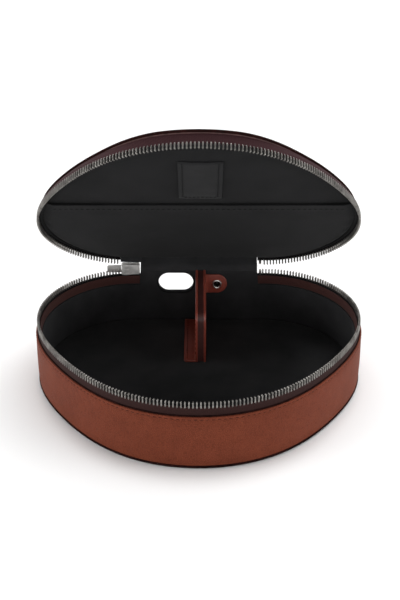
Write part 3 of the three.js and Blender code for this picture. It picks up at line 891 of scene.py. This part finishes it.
chain_start = CHAIN_RIGHT + 0.7
base_end = RIM_LENGTH - HINGE_HALF - 1.0
lid_end = length_at(LID_CHAIN_LEFT) - 0.6
own(teeth("base_zipper_teeth_row", chain_start, base_end, TEETH_FOOT["base"], 1, False),
    "base", "nickel", "base_zipper_teeth")
own(teeth("lid_zipper_teeth_row", chain_start + TOOTH_PITCH / 2, lid_end, TEETH_FOOT["lid"], -1, True),
    "lid", "nickel", "lid_zipper_teeth")


def tape_profile(low, high, bead_at, bead, outer=1.42, inner=2.16):
    """A thin tape with a corded edge under the teeth. bead_at is the height of the cord."""
    up = 1 if bead_at > (low + high) / 2 else -1
    cord = [(CHAIN_INSET + bead * math.cos(a), bead_at + up * bead * math.sin(a)) for a in
            (math.radians(d) for d in range(-40, 221, 26))]
    far = low if up > 0 else high
    near = bead_at - up * bead * 0.9
    steps = 5
    right = [(inner, far + (near - far) * i / steps) for i in range(steps)]
    left = [(outer, near + (far - near) * (i + 1) / steps) for i in range(steps)]
    return right + cord + left


lid_tape_stations = spaced(HINGE_HALF + 0.3, length_at(LID_CHAIN_LEFT), 1.7)
INNER_POINTS = 10
own(sweep("base_zipper_tape_cloth", BAND_STATIONS, tape_profile(34.2, 41.2, 40.4, 0.66), BROWN_TAPE,
          inside=(BLACK_TAPE, INNER_POINTS)),
    "base", "dark_tape", "base_zipper_tape")


def lean_in(profile, start=48.6, end=52.6, share=0.75):
    """A profile of the lid's wall, leant inwards with height to meet the drawn-in top."""

    def leant(s):
        extra = share * lid_taper(s)
        return [(inset + extra * min(1.0, max(0.0, (z - start) / (end - start))), z) for inset, z in profile]

    return leant


lid_tape = sweep("lid_zipper_tape_cloth", lid_tape_stations,
                 lean_in(tape_profile(46.8, 52.9, 47.6, 0.66, 1.2, 2.2)), BURGUNDY_TAPE, lid=True,
                 inside=(BLACK_TAPE, INNER_POINTS))
own(lid_tape, "lid", "dark_tape", "lid_zipper_tape")

# painted shade: a dark strip between the tape and the top of the wall, standing for the shadow in the gap
# there
rim_shade_strip = sweep("base_rim_painted_shade_strip", BAND_STATIONS, rounded(0.75, 1.38, 34.4, 35.8, 0.3), PIPING_PAINT)
own(rim_shade_strip, "base", "black_trim")


def stop(name, foot, up, lid):
    """A crimped metal block that ends the row."""
    low, high = sorted((foot, foot + up * 3.7))
    x0, x1 = CHAIN_RIGHT - 2.2, CHAIN_RIGHT - 0.3
    outline = [(x0, low), (x1, low), (x1, high - 0.2), ((x0 + x1) / 2, high), (x0, high - 0.2)]
    return prism(name, outline, BACK_Y - CHAIN_INSET - 1.2, BACK_Y - CHAIN_INSET + 1.2, "y", NICKEL,
                 edge=0.4, lid=lid)


own(stop("base_zipper_end_stop", TEETH_FOOT["base"], 1, False), "base", "nickel", "base_zipper_stop")
own(stop("lid_zipper_end_stop", TEETH_FOOT["lid"], -1, True), "lid", "nickel", "lid_zipper_stop")

# ---- lid


def lid_top(x, y, d):
    return 0.5 * smooth_step(d, 0, 30) + soft_waves(x, y, 0.12, 8.0, 0.02)


lid_skin = panel("lid_leather_panel", 1.3, 53.1, 54.9, TAN_LEATHER, edge=0.8, top_drop=lid_top, lid=True,
                 taper=1.0)
own(lid_skin, "lid", "tan_leather", "lid_outer_leather")


def round_cord(inset, z, across, up, sides=12):
    """The section of a cord that follows the drawn-in edge of the lid's top."""

    def section(s):
        middle = inset + lid_taper(s)
        return [(middle + across * math.cos(a), z + up * math.sin(a)) for a in circle(sides)]

    return section


lid_piping = sweep("lid_edge_piping", loop_stations(), round_cord(0.62, 54.0, 0.92, 0.9), PIPING_PAINT,
                   closed=True, lid=True)
own(lid_piping, "lid", "dark_edge", "lid_edge_binding")
# painted highlight: a lighter bead under the piping, standing for the highlight line along the lid's edge
lid_bead = sweep("lid_edge_bead", loop_stations(), round_cord(0.85, 52.75, 0.5, 0.36), BEAD_PAINTED_HIGHLIGHT,
                 closed=True, lid=True)
own(lid_bead, "lid", "dark_edge")
top_rows = rim_stitches(0, RIM_LENGTH, 5.2, 55.05, (0, 1), taper=1.0)
own(stitches("lid_leather_stitching", top_rows, TAN_THREAD, lid=True), "lid", "tan_leather")

lid_pad = panel("lid_lining_cushion", 4.4, 49.85, 51.0, LINING, edge=0.5,
                bottom_drop=pad_crown(-0.2, 7, 3.0, 0.05),
                lid=True, taper=0.42, step=PAD_STEP)
simulate(lid_pad, held_points(lid_pad, False), pressure=0.6, most=0.3)
own(lid_pad, "lid", "black_lining", "lid_lining")
border = sweep("lid_lining_border_roll", lid_tape_stations, lean_in(rounded(2.35, 4.3, 48.4, 50.9, 0.8)),
               LINING, lid=True)
own(border, "lid", "black_lining", "lid_lining_border")
tail = sweep("lid_tape_tail", spaced(RIM_LENGTH - 57.4, RIM_LENGTH - HINGE_HALF + 1.0, 1.2),
             rounded(5.0, 5.8, 44.1, 49.75, 0.35), LINING_PAINTED_LIGHT, lid=True)
own(tail, "lid", "black_lining")

POCKET_MOUTH, POCKET_INSET = BACK_Y - 98, 5.3
PATCH_HALF = 13.5
PATCH_X, PATCH_FRONT, PATCH_BACK = 1.0, BACK_Y - 156.0, BACK_Y - 105.5


def half_width(y, inset):
    """Half width of the outline, moved in, at a height y behind its widest line."""
    points = np.array([rim(s, inset)[0] for s in spaced(BACK_FLAT, RIM_LENGTH / 2, 1.0)])
    order = np.argsort(points[:, 1])
    return float(np.interp(y, points[order, 1], points[order, 0]))


def thick_sheet(name, front_face, columns, rows, depth, material):
    """A sheet from a grid of points given in the closed lid, with its back at the given depth behind."""
    back_face = [(x, y, z + depth(k)) for k, (x, y, z) in enumerate(front_face)]
    return build(name, [*front_face, *back_face], sheet_faces(rows, columns), material, lid=True)


def pocket():
    """The slip pocket: one layer of microfibre sewn round the back, its hemmed mouth a little slack."""
    low, back = 48.75, BACK_Y - POCKET_INSET
    rows, columns = 40, 72
    flat, held = [], set()
    for i in range(rows + 1):
        t = math.sin(math.pi / 2 * i / rows)
        y = POCKET_MOUTH + (back - POCKET_MOUTH) * t
        half = half_width(min(y, back - 1e-3), POCKET_INSET) if i < rows else BACK_FLAT
        for j in range(columns + 1):
            u = math.sin(math.pi / 2 * (2 * j / columns - 1))
            if i == rows or j in (0, columns):
                held.add(len(flat))
            flat.append((u * half, y, low + soft_waves(u * half, y, 0.08, 12.0)))
    cloth = build("pocket_cloth", flat, grid_quads(rows, columns), LINING, lid=True)
    simulate(cloth, held, weight=1.0, slack=0.01, most=1.3)
    hung = [lid_point([c / MM for c in v.co], -LID_OPEN) for v in cloth.data.vertices]
    bpy.data.objects.remove(cloth)
    made = []
    for k, (x, y, z) in enumerate(hung):
        hem = 0.22 * smooth_step(7 - (y - POCKET_MOUTH), 0, 0.8)
        made.append((x, y, z - hem))

    def depth(k):
        return 0.55 if k in held else 0.75

    return thick_sheet("lid_slip_pocket", made, columns, rows, depth, LINING), made


pocket_piece, pocket_points = pocket()
own(pocket_piece, "lid", "black_lining", "lid_pocket_panel")
pocket_width = 2 * half_width(WIDEST_Y, POCKET_INSET) * MM


def pocket_height(x, y):
    """Height of the pocket's outer face in the closed lid."""
    return min(pocket_points, key=lambda p: (p[0] - x) ** 2 + (p[1] - y) ** 2)[2]


hem_line = POCKET_MOUTH + 6
hem_rows = []
for k in range(54):
    x = -94 + 188 * (k + 0.5) / 54
    z = pocket_height(x, hem_line) - 0.04
    hem_rows.append(((x - 1.2, hem_line, z), (x + 1.2, hem_line, z), (0, 0, -1)))
own(stitches("lid_pocket_hem_stitching", hem_rows, BLACK_THREAD, lid=True), "lid", "black_lining")


def sleeve():
    """A small patch sewn on three sides, open along its front edge."""
    half, y0, y1 = PATCH_HALF, PATCH_FRONT, PATCH_BACK
    columns, rows = 24, 36
    low, high = 48.35, 49.6
    front_face = []
    for i in range(rows + 1):
        y = y0 + (y1 - y0) * i / rows
        for j in range(columns + 1):
            x = -half + 2 * half * j / columns
            edge = min(half - abs(x), y1 - y)
            rolled = 0.5 * (1 - smooth_step(edge, 0, 1.6)) + 0.35 * (1 - smooth_step(y - y0, 0, 0.9))
            sewn = 0.22 * math.exp(-((edge - 2.6) / 0.8) ** 2)
            belly = -0.35 * smooth_step(edge, 3, 9) * (1 - 0.6 * smooth_step(y - y0, 0, 40))
            z = low + rolled + sewn + belly + soft_waves(x, y, 0.08, 5.0, 0.12)
            front_face.append((PATCH_X + x, y, z))
    return thick_sheet("lid_accessory_patch", front_face, columns, rows, lambda k: high - front_face[k][2],
                       SLEEVE_CLOTH)


patch = sleeve()
own(patch, "lid", "black_lining", "lid_accessory_sleeve")
patch_rows = []
seam_z, seam_in = 48.45, 2.6
for x in (PATCH_X - PATCH_HALF + seam_in, PATCH_X + PATCH_HALF - seam_in):
    patch_rows += line_stitches((x, PATCH_FRONT + 1.5, seam_z), (x, PATCH_BACK - seam_in, seam_z),
                                (0, 0, -1), 2.6, 1.9)
patch_rows += line_stitches((PATCH_X - 10.5, PATCH_BACK - seam_in, seam_z),
                            (PATCH_X + 10.5, PATCH_BACK - seam_in, seam_z), (0, 0, -1), 2.6, 1.9)
own(stitches("lid_accessory_patch_stitching", patch_rows, BLACK_THREAD, radius=0.22, lid=True),
    "lid", "black_lining")

# ---- hinge


def hinge_sheet(name, start, end, thickness, material, wave):
    """A strip that bends from the back wall up to the open lid."""
    reach = math.dist(start, end) * 0.45
    c, s = math.cos(LID_OPEN), math.sin(LID_OPEN)
    control = (start, (start[0], start[1] + reach), (end[0] - reach * s, end[1] - reach * c), end)
    steps, columns = 22, 56
    line = []
    for i in range(steps + 1):
        t = i / steps
        weights = ((1 - t) ** 3, 3 * t * (1 - t) ** 2, 3 * t * t * (1 - t), t ** 3)
        line.append(tuple(sum(w * p[k] for w, p in zip(weights, control)) for k in (0, 1)))
    points = []
    for face in (0, 1):
        for i, (y, z) in enumerate(line):
            before, after = line[max(i - 1, 0)], line[min(i + 1, steps)]
            dy, dz = after[0] - before[0], after[1] - before[1]
            size = math.hypot(dy, dz)
            ny, nz = dz / size, -dy / size
            for j in range(columns + 1):
                u = math.sin(math.pi / 2 * (2 * j / columns - 1))
                edge = (1 - abs(u)) * HINGE_HALF
                thin = 1 - 0.75 * (1 - smooth_step(edge, 0, 0.8))
                crease = wave * math.sin(math.pi * i / steps) * noise.noise(Vector((u * 5, i * 0.3, 1.5)))
                off = (thickness / 2 * thin) * (1 if face == 0 else -1) + crease
                points.append((u * (HINGE_HALF - 0.1), y + ny * off, z + nz * off))
    width = columns + 1
    count = (steps + 1) * width
    faces = sheet_faces(steps, columns)
    uv = [[(points[k][0], (k % count) // width * 0.6) for k in face] for face in faces]
    return build(name, points, faces, material, uv)


def opened(y, z):
    return lid_point((0, y, z))[1:]


spine_start, spine_end = (BACK_Y - 0.75, RISER_TOP + 0.15), opened(BACK_Y - 0.75, 52.45)
spine = hinge_sheet("hinge_spine_leather", spine_start, spine_end, 1.4, TAN_BENT, 0.25)
cloth_start, cloth_end = (BACK_Y - INNER_INSET + 0.4, RISER_TOP - 0.1), opened(BACK_Y - 3.6, 49.2)
hinge_cloth = hinge_sheet("hinge_lining_cloth", cloth_start, cloth_end, 0.7, LINING_BENT_PAINTED_LIGHT, 0.2)
for piece, slot, replaced, start, end in (
    (spine, "tan_leather", "hinge_spine", spine_start, spine_end),
    (hinge_cloth, "black_lining", "hinge_lining", cloth_start, cloth_end),
):
    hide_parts(replaced)
    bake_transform(piece)

# ---- divider

FIN_X, FIN_HALF = 1.3, 3.5
FIN_LEFT, FIN_RIGHT = FIN_X - FIN_HALF, FIN_X + FIN_HALF
FIN_FRONT, FIN_BACK = 24.0, BACK_Y - INNER_INSET - 0.3
FIN_LOW = FLOOR_Z + 0.3
SKIN = 1.5
FIN_BEND = 6.0


def fin_outline(margin):
    """Side view of the divider: straight front, rounded bend, top rising slightly to the back."""
    front, back, low = FIN_FRONT + margin, FIN_BACK - margin, FIN_LOW + margin
    top_front, top_back = 41.0 - margin, 45.0 - margin
    bend = FIN_BEND - margin
    return [(front, low), (back, low), (back, top_back)] + arc(
        front + bend, top_front - bend, bend, 86, 180, 10
    )


def fin_side(name, x0, x1):
    return prism(name, fin_outline(0), x0, x1, "x", BROWN_LEATHER, edge=0.55, segments=4)


left = fin_side("divider_left_skin", FIN_LEFT, FIN_LEFT + SKIN)
flange_left = FIN_LEFT - 8.0
flange = prism(
    "divider_flange",
    [(flange_left + 1.5, FIN_FRONT), (FIN_LEFT + 0.6, FIN_FRONT),
     (FIN_LEFT + 0.6, FIN_BACK - 2), (flange_left, FIN_BACK - 2), (flange_left, FIN_FRONT + 1.5)],
    FIN_LOW, FIN_LOW + SKIN, "z", BROWN_LEATHER, edge=0.5,
)
fillet = prism(
    "divider_fillet",
    [(FIN_LEFT + 0.3, FIN_LOW + 1.2), (FIN_LEFT - 1.4, FIN_LOW + 1.45)]
    + [(FIN_LEFT - 1.4 + 1.45 * math.sin(a), FIN_LOW + 2.9 - 1.45 * math.cos(a)) for a in quarter(6, 1)]
    + [(FIN_LEFT + 0.3, FIN_LOW + 2.9)],
    FIN_FRONT + 0.5, FIN_BACK - 2.5, "y", BROWN_LEATHER, edge=0,
)
own(join(left, flange, fillet), "base", "brown_leather", "divider_left_leather")

right = fin_side("divider_right_skin", FIN_RIGHT - SKIN, FIN_RIGHT)
TAB_Z, TAB_HALF, TAB_END, RIVET_X = 34.4, 7.2, FIN_RIGHT + 15.5, 13.0
tab = prism(
    "divider_tab",
    [(FIN_RIGHT - 0.6, TAB_Z - TAB_HALF)]
    + arc(TAB_END - TAB_HALF, TAB_Z, TAB_HALF, -90, 90, 16)
    + [(FIN_RIGHT - 0.6, TAB_Z + TAB_HALF)],
    FIN_BACK - SKIN, FIN_BACK, "y", BROWN_LEATHER, edge=0.6, segments=4,
)
root = prism(
    "divider_tab_root",
    [(FIN_RIGHT - 0.3, FIN_BACK - SKIN + 0.2), (FIN_RIGHT - 0.3, FIN_BACK - 3.4)]
    + [(FIN_RIGHT + 1.9 - 1.9 * math.cos(a), FIN_BACK - 3.4 + 1.9 * math.sin(a)) for a in quarter(6)],
    TAB_Z - TAB_HALF + 0.6, TAB_Z + TAB_HALF - 0.6, "z", BROWN_LEATHER, edge=0,
)
own(join(right, tab, root), "base", "brown_leather", "divider_right_leather")


def fin_strip():
    """The narrow leather strip between the two faces, down the front and along the top."""
    shallow, deep = fin_outline(0.45), fin_outline(1.0)
    line = [shallow[0]] + shallow[:2:-1] + [shallow[2]]
    under = [deep[0]] + deep[:2:-1] + [deep[2]]
    x0, x1 = FIN_LEFT + SKIN - 0.25, FIN_RIGHT - SKIN + 0.25
    columns = 8
    points = []
    for (y, z), (uy, uz) in zip(line, under):
        for j in range(columns + 1):
            t = j / columns
            dip = 0.18 * math.sin(math.pi * t)
            x = x0 + (x1 - x0) * t
            points.append((x, y + (uy - y) * dip, z + (uz - z) * dip))
        for j in range(columns, -1, -1):
            points.append((x0 + (x1 - x0) * j / columns, uy, uz))
    return build("divider_edge_strip", points, tube_faces(len(line), 2 * (columns + 1)), STRIP_LEATHER)


own(fin_strip(), "base", "brown_leather")

fin_rows = []
for x, normal in ((FIN_LEFT, (-1, 0, 0)), (FIN_RIGHT, (1, 0, 0))):
    fin_rows += line_stitches((x, FIN_FRONT + 8, 38.2), (x, FIN_BACK - 5, 41.6), normal)
    fin_rows += line_stitches((x, FIN_FRONT + 2.6, FIN_LOW + 4), (x, FIN_FRONT + 2.6, 34), normal)
flange_mid = flange_left + 2.2
fin_rows += line_stitches((flange_mid, FIN_FRONT + 2.5, FIN_LOW + SKIN),
                          (flange_mid, FIN_BACK - 4, FIN_LOW + SKIN), (0, 0, 1))
own(stitches("divider_stitching", fin_rows, TAN_THREAD, radius=0.24), "base", "brown_leather")

face = FIN_BACK - SKIN - 0.1
rivet = turned(
    "divider_rivet_cap",
    [(1.9, face + 0.6), (3.2, face + 0.3), (3.45, face - 0.1), (3.4, face - 0.5), (3.15, face - 0.85),
     (2.75, face - 1.0), (2.35, face - 0.85), (2.1, face - 0.4), (2.05, face + 0.1), (1.5, face + 0.15)],
    (RIVET_X, TAB_Z), NICKEL,
)
own(rivet, "base", "nickel", "divider_rivet")
well = turned(
    "divider_rivet_well",
    [(2.0, face + 0.35), (2.0, face - 0.02), (1.5, face + 0.02), (1.0, face - 0.25), (0.4, face - 0.38)],
    (RIVET_X, TAB_Z), DARK_METAL,
)
own(well, "base", "black_trim")

# ---- slider and pull

SLIDER_X, SLIDER_Z = -49.1, 44.8
corner_radius = (HALF_WIDTH - BACK_FLAT) ** 2 / BACK_REACH
slider_radius = corner_radius - CHAIN_INSET
slider_turn = math.asin((-BACK_FLAT - SLIDER_X) / slider_radius)
slider_place = Matrix.Translation(
    Vector((SLIDER_X, BACK_Y - corner_radius + slider_radius * math.cos(slider_turn), SLIDER_Z)) * MM
) @ Matrix.Rotation(slider_turn, 4, "Z")


def placed(piece):
    piece.data.transform(slider_place)
    return piece


def plate_outline(nose, tail, half_nose, half_tail):
    """Slider plate: broad shoulders at the nose, narrowing to the tail, with rounded corners."""
    r = 1.1
    return (
        arc(nose + r, -half_nose + r, r, 180, 270, 5)
        + [(nose + 5.2, -half_nose + 0.1), (nose + 7.2, -half_tail)]
        + arc(tail - r, -half_tail + r, r, 270, 360, 5)
        + arc(tail - r, half_tail - r, r, 0, 90, 5)
        + [(nose + 7.2, half_tail), (nose + 5.2, half_nose - 0.1)]
        + arc(nose + r, half_nose - r, r, 90, 180, 5)
    )


def slider():
    nose, tail, inner, outer = -6.5, 6.5, 1.65, 2.75
    near = prism("zipper_slider_body", plate_outline(nose, tail, 4.0, 3.7), -outer, -inner, "y", SATIN,
                 edge=0.4)
    window = prism(
        "slider_window", [(nose + 2.2, -2.9), (nose + 4.6, -2.9), (nose + 4.6, 2.9), (nose + 2.2, 2.9)],
        -outer - 1, -outer + 0.55, "y", SATIN, edge=0,
    )
    cut(near, window)
    rib = prism(
        "slider_rib", arc(nose + 2.6, 0, 1.0, 90, 270, 8) + [(nose + 4.9, -0.8), (nose + 4.9, 0.8)],
        -outer - 0.15, -inner, "y", SATIN, edge=0.25,
    )
    far = prism("slider_far_plate", plate_outline(nose, tail, 3.9, 3.6), inner, outer, "y", SATIN, edge=0.4)
    post = prism(
        "slider_post",
        arc(nose + 0.9, -0.8, 0.5, 90, 270, 6) + [(nose + 3.6, -1.1), (nose + 4.2, -0.8), (nose + 3.6, -0.5)],
        -inner - 0.2, inner + 0.2, "y", SATIN, edge=0.1,
    )
    rails = []
    for z in (-3.45, 3.05):
        for y0, y1 in ((-inner - 0.3, -1.3), (1.3, inner + 0.3)):
            rails.append(prism("slider_rail", [(nose + 7.4, z), (tail - 0.6, z), (tail - 0.6, z + 0.4),
                                               (nose + 7.4, z + 0.4)], y0, y1, "y", SATIN, edge=0.12))
    return placed(join(near, rib, far, post, *rails))


own(slider(), "zip_slider", "nickel", "slider_body")


def bridge():
    """A low arch on the outside plate that holds the pull tab's bar."""
    inner, top, thick, half = 2.75, 4.85, 0.85, 0.8
    x0, x1 = -6.6, 3.5
    outer_line = [(x0, inner - 0.1), (x0 + 0.15, top - 0.8), (x0 + 0.9, top), (x1 - 0.9, top),
                  (x1 - 0.15, top - 0.8), (x1, inner - 0.1)]
    inner_line = [(x1 - 0.9, inner - 0.1), (x1 - 1.0, top - thick - 0.3), (x1 - 1.5, top - thick),
                  (x0 + 1.1, top - thick), (x0 + 0.95, top - thick - 0.15), (x0 + 0.9, inner - 0.1)]
    return placed(prism("zipper_slider_bridge", outer_line + inner_line, -half, half, "z", SATIN, edge=0.22))


own(bridge(), "zip_slider", "nickel", "slider_bridge")


def pull():
    """A flat rectangular tab with a window at its root and a raised rib down its middle."""
    bar, tip, half, drop = -4.6, -17.0, 2.8, 1.5
    y0, y1 = 2.98, 3.9
    r = 1.2
    outline = (
        [(bar + 0.75, -half - drop + 0.5), (bar + 0.75, half - drop - 0.5), (bar, half - drop)]
        + arc(tip + r, half - drop - r, r, 90, 180, 6)
        + arc(tip + r, -half - drop + r, r, 180, 270, 6)
        + [(bar, -half - drop)]
    )
    tab_piece = prism("zipper_pull_tab", outline, y0, y1, "y", SATIN, edge=0.28)
    window = [(bar - 2.3, -3.4), (bar - 0.1, -3.4), (bar - 0.1, 0.95), (bar - 2.3, 0.95)]
    hole = prism("pull_window", window, y0 - 2, y1 + 2, "y", SATIN, edge=0)
    cut(tab_piece, hole)
    rib = prism("pull_rib", arc(tip + 2.4, -drop, 0.6, 90, 270, 6) + arc(bar - 3.4, -drop, 0.6, -90, 90, 6),
                y0 - 0.18, y1 + 0.18, "y", SATIN, edge=0.15)
    return placed(join(tab_piece, rib))


own(pull(), "pull", "nickel", "pull_tab")

# ---- CAD nodes that stay

for name, material in {
    "base_floor_board": BOARD,
    "base_wall_board": BOARD,
    "lid_board": BOARD,
    "divider_core": BOARD,
    "divider_magnet_front": MAGNET,
    "divider_magnet_rear": MAGNET,
}.items():
    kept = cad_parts[name]
    for entry in kept.material_slots:
        entry.material = material

# ---- floor, light and camera


def floor():
    mesh = bpy.data.meshes.new("studio_floor")
    size = 6.0
    corners = [(-size, -size), (size, -size), (size, size), (-size, size)]
    mesh.from_pydata([(x, y, -0.0001) for x, y in corners], [], [(0, 1, 2, 3)])
    material, tree, shader = start_material("studio_floor", **{"Roughness": 0.9, "Specular IOR Level": 0.1})
    at = place(tree, False)
    tint(tree, shader, noise_at(tree, at, 3.0, 2.0), (0.93, 0.93, 0.93, 1), (0.95, 0.95, 0.95, 1))
    mesh.materials.append(material)
    made = bpy.data.objects.new("studio_floor", mesh)
    scene.collection.objects.link(made)


def soft_sun(name, towards, strength, spread):
    """A far, broad light that comes from the given direction."""
    data = bpy.data.lights.new(name, "SUN")
    data.energy, data.angle = strength, math.radians(spread)
    light = bpy.data.objects.new(name, data)
    light.rotation_euler = (-Vector(towards)).to_track_quat("-Z", "Y").to_euler()
    scene.collection.objects.link(light)


floor()
scene.view_settings.view_transform = "Standard"
world = bpy.data.worlds.new("studio")
scene.world = world
world.use_nodes = True
sky = world.node_tree
height = node(sky, "SeparateXYZ", {"Vector": node(sky, "TexCoord").outputs["Generated"]}).outputs["Z"]
sky.links.new(ramp(sky, height, 0.2, 0.45, 1.0, 0.38), sky.nodes["Background"].inputs["Strength"])
sky.nodes["Background"].inputs["Color"].default_value = (1.0, 1.0, 1.0, 1.0)
soft_sun("key_light", (0.15, 0.42, 1.1), 2.2, 40)
soft_sun("left_light", (-1.0, -0.16, 0.1), 2.5, 40)
soft_sun("right_light", (1.0, -0.16, 0.1), 2.0, 40)
soft_sun("front_light", (0.0, -1.0, 0.1), 0.55, 40)

ELEVATION, DISTANCE = math.radians(26.14), 0.6606
aim = Vector((0.0008, 0.0063, 0.0608))
camera_data = bpy.data.cameras.new("camera")
camera_data.lens, camera_data.sensor_width = 61.9, 36.0
camera_data.clip_start, camera_data.clip_end = 0.01, 50.0
camera = bpy.data.objects.new("camera", camera_data)
camera.location = aim + Vector((0, -math.cos(ELEVATION), math.sin(ELEVATION))) * DISTANCE
camera.rotation_euler = (math.pi / 2 - ELEVATION, 0, 0)
scene.collection.objects.link(camera)
scene.camera = camera
